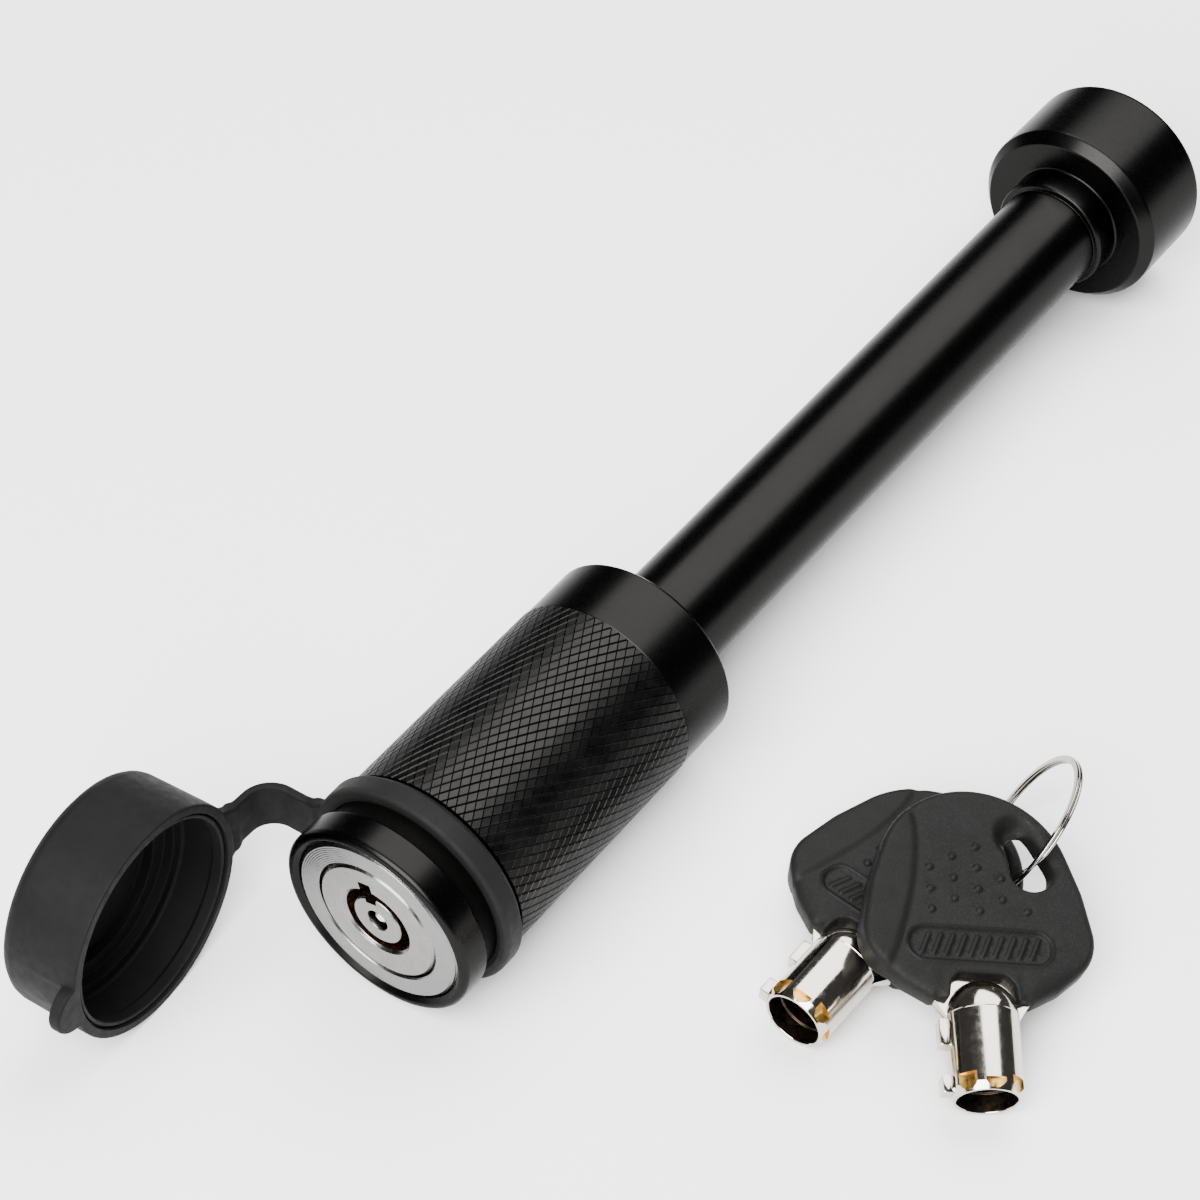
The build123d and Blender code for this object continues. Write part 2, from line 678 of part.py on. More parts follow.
for key_name, plane in (("a", key_a_plane), ("b", key_b_plane)):
    key_axis = Axis(plane.origin, plane.y_dir)
    tip_face = Plane(origin=plane.origin, x_dir=plane.x_dir, z_dir=plane.y_dir)

    with BuildPart() as key_tube:
        revolve(tube_section(plane), axis=key_axis)
        with BuildSketch(tip_face):
            Circle(TUBE_BORE_R)
        extrude(amount=TUBE_BORE_DEPTH, mode=Mode.SUBTRACT)
        for start, end in NUBS:
            with BuildSketch(plane.offset(-NUB_WIDTH / 2)):
                with Locations((-TUBE_R - (NUB_REACH - NUB_ROOT) / 2, (start + end) / 2)):
                    Rectangle(NUB_REACH + NUB_ROOT, end - start)
            extrude(amount=NUB_WIDTH)
        for place, depth in enumerate(BIT_DEPTHS):
            angle = 135 - 360 / PIN_PLACES * place
            cutter_r = TUBE_R + BIT_CUTTER_R / 2
            cut = (cutter_r * cos(radians(angle)), -cutter_r * sin(radians(angle)))
            with BuildSketch(tip_face):
                with Locations(cut):
                    Circle(BIT_CUTTER_R)
            extrude(amount=depth, mode=Mode.SUBTRACT)
    key_tube.part.label = f"key_tube_{key_name}"
    export_step(key_tube.part, f"parts/key_tube_{key_name}.step")

    with BuildPart() as key_blade:
        with BuildSketch(plane.offset(-BLADE_THICKNESS / 2)):
            with BuildLine():
                Polyline(
                    (-TUBE_R, TUBE_LENGTH - 0.1),
                    (TUBE_R, TUBE_LENGTH - 0.1),
                    (BLADE_HALF_WIDTH, SHOULDER_Y),
                    (BLADE_HALF_WIDTH, BLADE_TOP),
                    (-BLADE_HALF_WIDTH, BLADE_TOP),
                    (-BLADE_HALF_WIDTH, SHOULDER_Y),
                    close=True,
                )
            make_face()
        extrude(amount=BLADE_THICKNESS)
        revolve(tube_section(plane, SEATED), axis=key_axis, mode=Mode.SUBTRACT)
    key_blade.part.label = f"key_blade_{key_name}"
    export_step(key_blade.part, f"parts/key_blade_{key_name}.step")

    with BuildPart() as key_bow:
        extrude(bow_outline(plane), amount=BOW_HALF_THICKNESS, both=True)
        by_height = key_bow.faces().sort_by(Axis(plane.origin, plane.z_dir))
        fillet(by_height[0].edges() + by_height[-1].edges(), BOW_EDGE_R)
        with BuildSketch(plane):
            with Locations((0, NOTCH_TOP - NOTCH_LENGTH / 2)):
                RectangleRounded(2 * NOTCH_HALF_WIDTH, NOTCH_LENGTH, NOTCH_CORNER_R)
        extrude(amount=BOW_HALF_THICKNESS + 1, both=True, mode=Mode.SUBTRACT)
        with BuildSketch(plane):
            with Locations(HOLE_CENTRE):
                Circle(HOLE_R)
            with Locations(HOLE_POINT):
                Circle(HOLE_POINT_R)
            make_hull()
        extrude(amount=BOW_HALF_THICKNESS + 1, both=True, mode=Mode.SUBTRACT)
        add(key_blade.part, mode=Mode.SUBTRACT)
    key_bow.part.label = f"key_bow_{key_name}"
    export_step(key_bow.part, f"parts/key_bow_{key_name}.step")

with BuildPart(Plane(origin=RING_CENTRE, z_dir=RING_NORMAL)) as key_ring:
    Torus(RING_MEAN_R, RING_WIRE_R)
key_ring.part.label = "key_ring"
export_step(key_ring.part, "parts/key_ring.step")
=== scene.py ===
from math import acos, cos, hypot, pi, radians, sin, sqrt, tan

import bmesh
import bpy
import numpy as np
from mathutils import Matrix, Vector
from mathutils.geometry import delaunay_2d_cdt


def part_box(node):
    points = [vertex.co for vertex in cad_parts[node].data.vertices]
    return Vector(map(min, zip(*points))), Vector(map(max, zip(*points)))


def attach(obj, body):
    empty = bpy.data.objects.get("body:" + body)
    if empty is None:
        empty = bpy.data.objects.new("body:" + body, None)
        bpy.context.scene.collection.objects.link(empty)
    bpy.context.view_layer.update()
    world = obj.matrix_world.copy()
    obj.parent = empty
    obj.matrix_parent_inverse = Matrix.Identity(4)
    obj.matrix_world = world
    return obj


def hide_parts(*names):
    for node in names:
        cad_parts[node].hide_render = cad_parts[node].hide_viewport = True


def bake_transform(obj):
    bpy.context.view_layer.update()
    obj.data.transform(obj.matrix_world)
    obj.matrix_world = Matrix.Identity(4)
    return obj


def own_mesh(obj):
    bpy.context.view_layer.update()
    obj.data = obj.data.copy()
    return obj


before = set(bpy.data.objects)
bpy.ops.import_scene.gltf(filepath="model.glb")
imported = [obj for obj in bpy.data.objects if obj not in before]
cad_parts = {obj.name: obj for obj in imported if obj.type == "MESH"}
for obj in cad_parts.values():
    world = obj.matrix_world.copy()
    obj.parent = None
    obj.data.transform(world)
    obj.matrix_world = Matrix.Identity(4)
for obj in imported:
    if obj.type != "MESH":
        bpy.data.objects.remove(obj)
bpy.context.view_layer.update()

# All piece dimensions below are in millimetres; MM turns them into Blender's metres.
MM = 0.001


def node_box(name):
    """Lowest and highest corners of a CAD node, in millimetres."""
    low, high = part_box(name)
    return low / MM, high / MM


# -------------------- sizes taken from the frame
PIN_LOW, PIN_HIGH = node_box("hitch_pin")
LOCK_LOW, LOCK_HIGH = node_box("lock_housing")
RING_LOW, RING_HIGH = node_box("strap_ring")
SHELL_LOW, SHELL_HIGH = node_box("cylinder_shell")
BEZEL_BACK = node_box("face_ring")[0].x
SPRING_LOW, SPRING_HIGH = node_box("pin_springs")
FLOOR = RING_LOW.z
FACE = LOCK_HIGH.x
INSERT_FACE = SHELL_HIGH.x
KNURL_R = LOCK_HIGH.z
KNURL_TOP_R = KNURL_R + 0.02

# hitch pin
HEAD_BACK = PIN_LOW.x
HEAD_R = PIN_HIGH.z
SHANK_R = 7.9375
SHANK_END = 105.5
SPIGOT_R = 7.3
COLLAR_R = 8.9
COLLAR_START = -4.7
BALL_X = 118.0
BALL_GROOVE_R = 2.09
BALL_GROOVE_CENTRE = 8.05

# lock sleeve
LOCK_R = 14.5
BAND_END = 115.8
KNURL_END = 151.9
GROOVE_R = 13.55
NOSE_START = 158.9
REAR_BORE_R = 12.6
REAR_BORE_END = 133.5
FRONT_BORE_R = 12.7
FRONT_BORE_START = 153.9
CYLINDER_R = 9.2
FLANGE_R = 12.6
CHAMBER_R = 6.95
CHAMBER_END = 153.8
CENTRE_HOLE_R = 2.6
SLEEVE_RECESS_R = 14.1
KNURL_STARTS = 68
KNURL_HELIX = radians(29)
KNURL_GROOVES = (0.065, 0.125)
KNURL_DEPTH = 0.14

# keyway of the tubular cylinder
KEYWAY_ANGLE = radians(104.5)
KEYWAY_R = 5.06
PIN_CIRCLE_R = 4.44
PIN_PLACES = 8

# dust cap and strap
HINGE = Vector((156.4, -23.5, 0))
CAP_OPEN = radians(86)
CAP_MOUTH_X = 156.4
CAP_RISE = 0.62
CAP_R = 16.2
CAP_LENGTH = 12.2
CAP_FLOOR = 10.4
CAP_BORE_R = 14.8
CAP_LIP_R = 14.1
TAB_R = 3.5
TAB_THICKNESS = 1.8

# keys: tip x, tip y, heading, lift and roll in degrees, as the CAD keys lie
KEY_PLACES = {"a": (133.7, 73.0, -143.3, 12.6, 9.5), "b": (137.9, 46.75, 178.4, 0.0, 4.5)}
TUBE_R = 4.7625
TUBE_LENGTH = 11.0
TUBE_BORE_R = 3.85
SEAT_GAP = 0.02

# key ring
RING_CENTRE = Vector((96.23, 55.61, -6.41))
RING_NORMAL = Vector((0.278, -0.792, 0.544))
RING_MEAN_R = 10.16


# -------------------- mesh helpers
def rounded(points, steps=5):
    """Polyline through (x, y) or (x, y, radius) points; a point with a radius becomes an arc.

    A guard point just outside each end of an arc keeps the straight runs flat when shaded smooth.
    """
    line = []
    count = len(points)
    for i, point in enumerate(points):
        here = Vector(point[:2])
        radius = point[2] if len(point) > 2 else 0
        if radius <= 0:
            line.append(tuple(here))
            continue
        before = (Vector(points[i - 1][:2]) - here).normalized()
        after = (Vector(points[(i + 1) % count][:2]) - here).normalized()
        half = acos(max(-1, min(1, before.dot(after)))) / 2
        centre = here + (before + after).normalized() * (radius / sin(half))
        first = here + before * (radius / tan(half)) - centre
        turn = pi - 2 * half
        side = 1 if before.x * after.y - before.y * after.x < 0 else -1
        guard = min(0.05, radius / 5)
        line.append(tuple(centre + first + before * guard))
        for step in range(steps + 1):
            angle = side * turn * step / steps
            line.append(tuple(centre + Matrix.Rotation(angle, 2) @ first))
        line.append(tuple(here + after * (radius / tan(half) + guard)))
    return line


def finish_mesh(bm, name, materials, sharp=35, place=None):
    """Turns a bmesh in millimetres into a smooth-shaded object with crisp edges."""
    bmesh.ops.remove_doubles(bm, verts=bm.verts, dist=1e-5)
    bmesh.ops.recalc_face_normals(bm, faces=bm.faces)
    mesh = bpy.data.meshes.new(name)
    bmesh.ops.scale(bm, vec=(MM, MM, MM), verts=bm.verts)
    bm.to_mesh(mesh)
    bm.free()
    mesh.polygons.foreach_set("use_smooth", [True] * len(mesh.polygons))
    mesh.set_sharp_from_angle(angle=radians(sharp))
    for material in materials:
        mesh.materials.append(material)
    piece = bpy.data.objects.new(name, mesh)
    bpy.context.scene.collection.objects.link(piece)
    if place is not None:
        piece.matrix_world = place
    return piece


def add_wall(bm, first, second):
    """Joins two closed rows of vertices with a band of faces."""
    count = len(first)
    for i in range(count):
        j = (i + 1) % count
        bm.faces.new((first[i], first[j], second[j], second[i]))


def add_turned(bm, outline, angles=192, ring=False):
    """Adds a turned body about X. outline is a list of (x, r), or a function of the angle."""
    if isinstance(angles, int):
        angles = [2 * pi * i / angles for i in range(angles)]
    columns = []
    poles = {}
    for angle in angles:
        points = outline(angle) if callable(outline) else outline
        column = []
        for index, (x, r) in enumerate(points):
            if r < 1e-6:
                if index not in poles:
                    poles[index] = bm.verts.new((x, 0, 0))
                column.append(poles[index])
            else:
                column.append(bm.verts.new((x, r * cos(angle), r * sin(angle))))
        columns.append(column)
    rows = len(columns[0])
    for left, right in zip(columns, columns[1:] + columns[:1]):
        for i in range(rows if ring else rows - 1):
            j = (i + 1) % rows
            corners = [left[i], left[j], right[j], right[i]]
            unique = list(dict.fromkeys(corners))
            if len(unique) > 2:
                bm.faces.new(unique)


def turned(name, outline, materials, angles=192, ring=False, place=None, sharp=35):
    """A turned piece about X, or about the x axis of place."""
    bm = bmesh.new()
    add_turned(bm, outline, angles, ring)
    return finish_mesh(bm, name, materials, sharp, place)


def add_block(bm, low, high, bevel, place=None):
    """Adds a rounded block between two corners."""
    made = bmesh.ops.create_cube(bm, size=1)["verts"]
    low, high = Vector(low), Vector(high)
    size = high - low
    for vert in made:
        vert.co = low + Vector([size[i] * (vert.co[i] + 0.5) for i in range(3)])
    if place is not None:
        bmesh.ops.transform(bm, matrix=place, verts=made)
    edges = list({edge for vert in made for edge in vert.link_edges})
    bmesh.ops.bevel(bm, geom=edges, offset=bevel, segments=2, profile=0.5, affect="EDGES")


def add_sweep(bm, path, sections):
    """Adds a closed tube: path is a list of (centre, side, up), sections the (u, v) outlines."""
    rings = []
    for (centre, side, up), outline in zip(path, sections):
        rings.append([bm.verts.new(centre + side * u + up * v) for u, v in outline])
    for first, second in zip(rings, rings[1:]):
        add_wall(bm, first, second)
    bm.faces.new(rings[0])
    bm.faces.new(rings[-1])


def add_prism(bm, bottom, top):
    """Adds a closed prism between two matching flat outlines of (x, y, z) points."""
    low = [bm.verts.new(point) for point in bottom]
    high = [bm.verts.new(point) for point in top]
    bm.faces.new(low)
    bm.faces.new(high)
    add_wall(bm, low, high)


def cut(piece, cutter):
    """Cuts one mesh out of another and throws the cutter away."""
    modifier = piece.modifiers.new("cut", "BOOLEAN")
    modifier.operation = "DIFFERENCE"
    modifier.object = cutter
    modifier.solver = "EXACT"
    shape = bpy.context.evaluated_depsgraph_get()
    made = bpy.data.meshes.new_from_object(piece.evaluated_get(shape))
    piece.modifiers.clear()
    old = piece.data
    piece.data = made
    bpy.data.meshes.remove(old)
    bpy.data.objects.remove(cutter)
    made.polygons.foreach_set("use_smooth", [True] * len(made.polygons))
    made.set_sharp_from_angle(angle=radians(30))


def placed(origin, axes):
    """Frame at an origin in millimetres, with three unit vectors as its axes."""
    place = Matrix.Identity(4)
    for column, axis in enumerate(axes):
        for row in range(3):
            place[row][column] = axis[row]
    return Matrix.Translation(origin * MM) @ place


def give(piece, body, slot, *nodes):
    """The piece rides on a body and stands for CAD nodes, which it hides; slot is not used."""
    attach(piece, body)
    if nodes:
        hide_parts(*nodes)


# -------------------- materials
class Surface:
    """A procedural material on one Principled shader, built from object coordinates."""

    def __init__(self, name):
        self.material = bpy.data.materials.new(name)
        self.material.use_nodes = True
        self.tree = self.material.node_tree
        self.shader = self.tree.nodes["Principled BSDF"]
        self.place = self.tree.nodes.new("ShaderNodeTexCoord").outputs["Object"]

    def link(self, source, target):
        self.tree.links.new(source, target)

    def set(self, **values):
        for key, value in values.items():
            self.shader.inputs[key.replace("_", " ")].default_value = value

    def noise(self, scale, detail=3, stretch=None):
        """Noise with features about 1/scale of a metre wide, stretched along the axes."""
        texture = self.tree.nodes.new("ShaderNodeTexNoise")
        texture.inputs["Scale"].default_value = scale
        texture.inputs["Detail"].default_value = detail
        source = self.place
        if stretch:
            mapping = self.tree.nodes.new("ShaderNodeMapping")
            mapping.inputs["Scale"].default_value = stretch
            self.link(source, mapping.inputs["Vector"])
            source = mapping.outputs["Vector"]
        self.link(source, texture.inputs["Vector"])
        return texture.outputs["Fac"]

    def math(self, operation, first, second=0.0):
        """One step of arithmetic on sockets or numbers."""
        node = self.tree.nodes.new("ShaderNodeMath")
        node.operation = operation
        for socket, value in zip(node.inputs, (first, second)):
            if isinstance(value, (int, float)):
                socket.default_value = value
            else:
                self.link(value, socket)
        return node.outputs[0]

    def axes(self):
        """X, Y and Z of the object coordinates."""
        node = self.tree.nodes.new("ShaderNodeSeparateXYZ")
        self.link(self.place, node.inputs[0])
        return node.outputs

    def radius(self):
        """Distance from the object's X axis."""
        _, y, z = self.axes()
        squares = self.math("MULTIPLY", y, y), self.math("MULTIPLY", z, z)
        return self.math("SQRT", self.math("ADD", *squares))

    def waves(self, source, pitch):
        """Sine of a length, with a pitch in millimetres."""
        return self.math("SINE", self.math("MULTIPLY", source, 2 * pi / (pitch * MM)))

    def ramp(self, source, stops):
        """Colour ramp from (position, colour or grey) stops."""
        node = self.tree.nodes.new("ShaderNodeValToRGB")
        while len(node.color_ramp.elements) < len(stops):
            node.color_ramp.elements.new(0.5)
        for element, (position, colour) in zip(node.color_ramp.elements, stops):
            grey = isinstance(colour, (int, float))
            element.position = position
            element.color = (colour,) * 3 + (1,) if grey else tuple(colour) + (1,)
        self.link(source, node.inputs[0])
        return node.outputs[0]

    def vary(self, source, low, high):
        """Ramp from one colour or grey to another over the middle of a noise."""
        return self.ramp(source, [(0.3, low), (0.7, high)])

    def mix(self, factor, first, second):
        """Mixes two colours, each a socket or a constant."""
        node = self.tree.nodes.new("ShaderNodeMix")
        node.data_type = "RGBA"
        for socket, value in zip((0, 6, 7), (factor, first, second)):
            if isinstance(value, tuple):
                node.inputs[socket].default_value = value + (1,)
            else:
                self.link(value, node.inputs[socket])
        return node.outputs[2]

    def colour(self, source):
        self.link(source, self.shader.inputs["Base Color"])

    def roughness(self, source):
        self.link(source, self.shader.inputs["Roughness"])

    def bump(self, height, distance, strength=1.0):
        """Adds a bump layer under any earlier one; distance is in metres."""
        node = self.tree.nodes.new("ShaderNodeBump")
        node.inputs["Strength"].default_value = strength
        node.inputs["Distance"].default_value = distance
        self.link(height, node.inputs["Height"])
        target = self.shader.inputs["Normal"]
        if target.links:
            self.link(target.links[0].from_socket, node.inputs["Normal"])
        self.link(node.outputs[0], target)


# Edge tint that keeps the black finish's reflections dim at grazing angles.
BLACK_EDGE = (0.57, 0.57, 0.57, 1)


def black_plating():
    """Satin-gloss black finish over turned steel, with faint turning lines and handling marks."""
    s = Surface("black_plating")
    s.set(Metallic=1.0, Specular_Tint=BLACK_EDGE)
    broad = s.noise(60, 4)
    fine = s.noise(900, 3)
    s.colour(s.vary(broad, (0.0115, 0.0112, 0.011), (0.0128, 0.0125, 0.0122)))
    rough = s.mix(broad, s.vary(fine, 0.24, 0.3), (0.28, 0.28, 0.28))
    s.roughness(s.ramp(rough, [(0, 0), (1, 1)]))
    x, _, _ = s.axes()
    s.bump(s.waves(x, 0.22), 0.0006 * MM, 0.6)
    s.bump(s.noise(2600, 2), 0.0025 * MM, 0.8)
    return s.material


def groove_painted_shade():
    """Painted shade at the bottom of the rubber ring's groove: the black finish made darker, duller and
    nearly without reflection there.
    """
    s = Surface("groove_painted_shade")
    # Painted shade: a near-black colour and a weak reflection stand in for the shade that falls in the
    # groove.
    s.set(Metallic=0.0, Specular_IOR_Level=0.025)
    s.colour(s.vary(s.noise(300, 4), (0.0008, 0.0008, 0.0007), (0.0013, 0.0012, 0.0011)))
    s.roughness(s.vary(s.noise(900, 3), 0.5, 0.62))
    s.bump(s.noise(2600, 2), 0.004 * MM, 0.8)
    return s.material


def knurl_plating():
    """The same black finish where the knurling tool has pressed it: a little brighter and rougher."""
    s = Surface("knurl_plating")
    s.set(Metallic=1.0, Specular_Tint=BLACK_EDGE)
    worn = s.noise(1500, 3)
    s.colour(s.ramp(worn, [(0.35, (0.0185, 0.0181, 0.0178)), (0.75, (0.022, 0.0214, 0.0209))]))
    s.roughness(s.vary(s.noise(400, 3), 0.3, 0.42))
    s.bump(s.noise(5000, 2), 0.006 * MM, 0.8)
    return s.material


def rubber(name="rubber", tone=0.0042):
    """Matte black moulded rubber with a fine grain and dusty mottling."""
    s = Surface(name)
    s.set(Metallic=0.0, Specular_IOR_Level=0.1)
    mottle = s.noise(140, 5)
    s.colour(s.vary(mottle, (tone * 0.8,) * 3, (tone * 1.2, tone * 1.17, tone * 1.13)))
    s.roughness(s.vary(s.noise(700, 4), 0.58, 0.72))
    s.bump(s.noise(4200, 3), 0.012 * MM, 0.9)
    s.bump(s.noise(300, 3), 0.02 * MM, 0.5)
    return s.material


def bow_plastic():
    """Black moulded nylon with a spark-eroded grain."""
    s = Surface("bow_plastic")
    s.set(Metallic=0.0, Specular_IOR_Level=0.09)
    mottle = s.noise(260, 4)
    speck = s.noise(5200, 2)
    base = s.vary(mottle, (0.0046, 0.0045, 0.0043), (0.0064, 0.0062, 0.006))
    s.colour(s.mix(s.ramp(speck, [(0.5, 0.0), (0.8, 0.45)]), base, (0.018, 0.0175, 0.017)))
    s.roughness(s.vary(speck, 0.62, 0.48))
    s.bump(s.noise(3600, 3), 0.03 * MM, 0.9)
    return s.material


def nickel(name, colour=(0.74, 0.72, 0.68), rough=(0.1, 0.2), lines=None, distance=0.0):
    """Nickel plate. lines is the pitch of turning rings about X, distance their depth, in millimetres."""
    s = Surface(name)
    s.set(Metallic=1.0)
    cloud = s.noise(500, 4)
    dark = tuple(c * 0.93 for c in colour)
    s.colour(s.vary(cloud, dark, colour))
    s.roughness(s.vary(s.noise(1300, 3), *rough))
    if lines:
        wander = s.math("MULTIPLY", s.waves(s.radius(), lines), s.noise(900, 2))
        s.bump(wander, distance * MM, 1.0)
    s.bump(s.noise(2200, 3), 0.004 * MM, 0.7)
    return s.material


def brass(name="turned_brass", colour=(0.8, 0.55, 0.2), stretch=(1, 1, 1)):
    """Cut brass with tool marks, which stretch lengthens along the axes with a small factor."""
    s = Surface(name)
    s.set(Metallic=1.0)
    marks = s.noise(1800, 3, stretch)
    s.colour(s.vary(marks, tuple(c * 0.72 for c in colour), colour))
    s.roughness(s.vary(s.noise(1200, 3), 0.22, 0.38))
    s.bump(marks, 0.012 * MM, 0.8)
    return s.material


def steel():
    """Turned and ground steel of the inner parts."""
    s = Surface("ground_steel")
    s.set(Metallic=1.0)
    marks = s.noise(1500, 3, (4, 1, 1))
    s.colour(s.vary(marks, (0.42, 0.42, 0.43), (0.58, 0.58, 0.59)))
    s.roughness(s.vary(s.noise(900, 3), 0.24, 0.38))
    s.bump(marks, 0.006 * MM, 0.8)
    return s.material


def plated_cylinder():
    """Nickel-plated face over brass: the plating ends a little way down, and the centre hole has painted
    shade, near-black.
    """
    s = Surface("plated_cylinder")
    s.set(Metallic=1.0)
    x, _, _ = s.axes()
    cloud = s.noise(500, 4)
    plate = s.vary(cloud, (0.172, 0.168, 0.163), (0.2, 0.196, 0.19))
    bare_brass_and_hole_shade = s.vary(s.noise(1500, 3), (0.1, 0.045, 0.01), (0.45, 0.25, 0.06))
    depth = s.math("DIVIDE", s.math("SUBTRACT", x, (INSERT_FACE - 0.75) * MM), 0.4 * MM)
    edge = s.math("ADD", depth, s.math("MULTIPLY", s.math("SUBTRACT", cloud, 0.5), 0.5))
    # Painted shade: below the plating, the centre hole's walls are painted near-black for the shade
    # inside the hole.
    hole = s.math("LESS_THAN", s.radius(), CENTRE_HOLE_R * MM)
    bare_brass_and_hole_shade = s.mix(s.ramp(hole, [(0.0, 0.0), (1.0, 1.0)]), bare_brass_and_hole_shade, (0.035, 0.028, 0.02))
    s.colour(s.mix(s.ramp(edge, [(0.25, 0.0), (0.75, 1.0)]), bare_brass_and_hole_shade, plate))
    s.roughness(s.vary(s.noise(1300, 3), 0.2, 0.3))
    s.bump(s.math("MULTIPLY", s.waves(s.radius(), 0.3), s.noise(800, 2)), 0.007 * MM, 1.0)
    return s.material


PLATING = black_plating()
GROOVE_PAINTED_SHADE = groove_painted_shade()
KNURLED = knurl_plating()
RUBBER = rubber()
STRAP_RUBBER = rubber("strap_ring_rubber", tone=0.0068)
BOW = bow_plastic()
BEZEL = nickel("bezel_nickel", (0.175, 0.173, 0.171), rough=(0.2, 0.28), lines=0.3, distance=0.014)
KEY_NICKEL = nickel("key_nickel", (0.52, 0.485, 0.43), rough=(0.08, 0.17))
RING_NICKEL = nickel("ring_nickel", (0.34, 0.325, 0.3), rough=(0.12, 0.2))
PIN_NICKEL = nickel("pin_nickel", (0.8, 0.78, 0.74), rough=(0.32, 0.42))
CYLINDER = plated_cylinder()
BIT_BRASS = brass("cut_brass", (0.62, 0.37, 0.09), stretch=(1, 0.2, 1))
# Painted shade: the key tube's bore is brass painted almost black, standing in for the shade inside the
# tube.
BORE_SHADE_BRASS = brass("bore_brass_painted_shade", (0.075, 0.055, 0.038), stretch=(0.2, 1, 1))
BRASS = brass()
STEEL = steel()
SEAL_RUBBER = rubber("seal_rubber", tone=0.003)


# -------------------- hitch pin
def make_pin():
    """Fixed head, collar, shank and the spigot with its ball groove, turned in one piece."""
    groove = []
    for step in range(9):
        angle = pi - pi * step / 8
        x, depth = BALL_GROOVE_R * cos(angle), BALL_GROOVE_R * sin(angle)
        groove.append((BALL_X + x, BALL_GROOVE_CENTRE - depth))
    groove = [point for point in groove if point[1] < SPIGOT_R]
    outline = rounded([
        (HEAD_BACK + 0.5, 0),
        (HEAD_BACK + 0.2, 3.4, 0.4),
        (HEAD_BACK, 4.2, 0.3),
        (HEAD_BACK, HEAD_R, 0.9),
        (COLLAR_START - 1.7, HEAD_R, 0.7),
        (COLLAR_START, 13.3, 0.5),
        (COLLAR_START, COLLAR_R, 0.35),
        (-0.15, COLLAR_R, 0.5),
        (0, SHANK_R, 0.12),
        (SHANK_END - 0.4, SHANK_R, 0.1),
        (SHANK_END, SPIGOT_R + 0.2),
        (SHANK_END, SPIGOT_R),
        *groove,
        (PIN_HIGH.x, SPIGOT_R, 1.5),
        (PIN_HIGH.x, 0),
    ])
    pin = turned("hitch_pin_body", outline, [PLATING], angles=256)
    give(pin, "pin", "black_metal", "hitch_pin")


# -------------------- lock sleeve and knurl
def make_sleeve():
    """Smooth parts of the lock's sleeve, with a shallow recess for the knurl and a ring groove with
    painted shade.
    """
    outline = rounded([
        (LOCK_LOW.x, REAR_BORE_R, 0.2),
        (LOCK_LOW.x, 13.85, 0.3),
        (LOCK_LOW.x + 0.65, LOCK_R, 0.45),
        (BAND_END - 0.24, LOCK_R, 0.04),
        (BAND_END, LOCK_R - 0.14),
        (BAND_END, SLEEVE_RECESS_R),
        (KNURL_END, SLEEVE_RECESS_R),
        (KNURL_END, GROOVE_R),
        (NOSE_START, GROOVE_R, 0.25),
        (NOSE_START, LOCK_R, 0.35),
        (FACE, LOCK_R, 0.85),
        (FACE, 13.35, 0.2),
        (FACE - 0.55, FRONT_BORE_R + 0.05, 0.1),
        (FRONT_BORE_START, FRONT_BORE_R + 0.01),
        (FRONT_BORE_START, CYLINDER_R + 0.05),
        (REAR_BORE_END, CYLINDER_R + 0.05),
        (REAR_BORE_END, REAR_BORE_R + 0.01),
    ])
    sleeve = turned("lock_sleeve", outline, [PLATING, GROOVE_PAINTED_SHADE], angles=256, ring=True)
    # Faces in the ring groove take the second material, painted shade standing in for the shadow in the
    # groove.
    for face in sleeve.data.polygons:
        x, y, z = face.center / MM
        in_groove = KNURL_END - 0.1 < x < NOSE_START + 0.1
        if in_groove and GROOVE_R - 0.2 < hypot(y, z) < LOCK_R - 0.15:
            face.material_index = 1
    give(sleeve, "lock_head", "black_metal", "lock_housing")


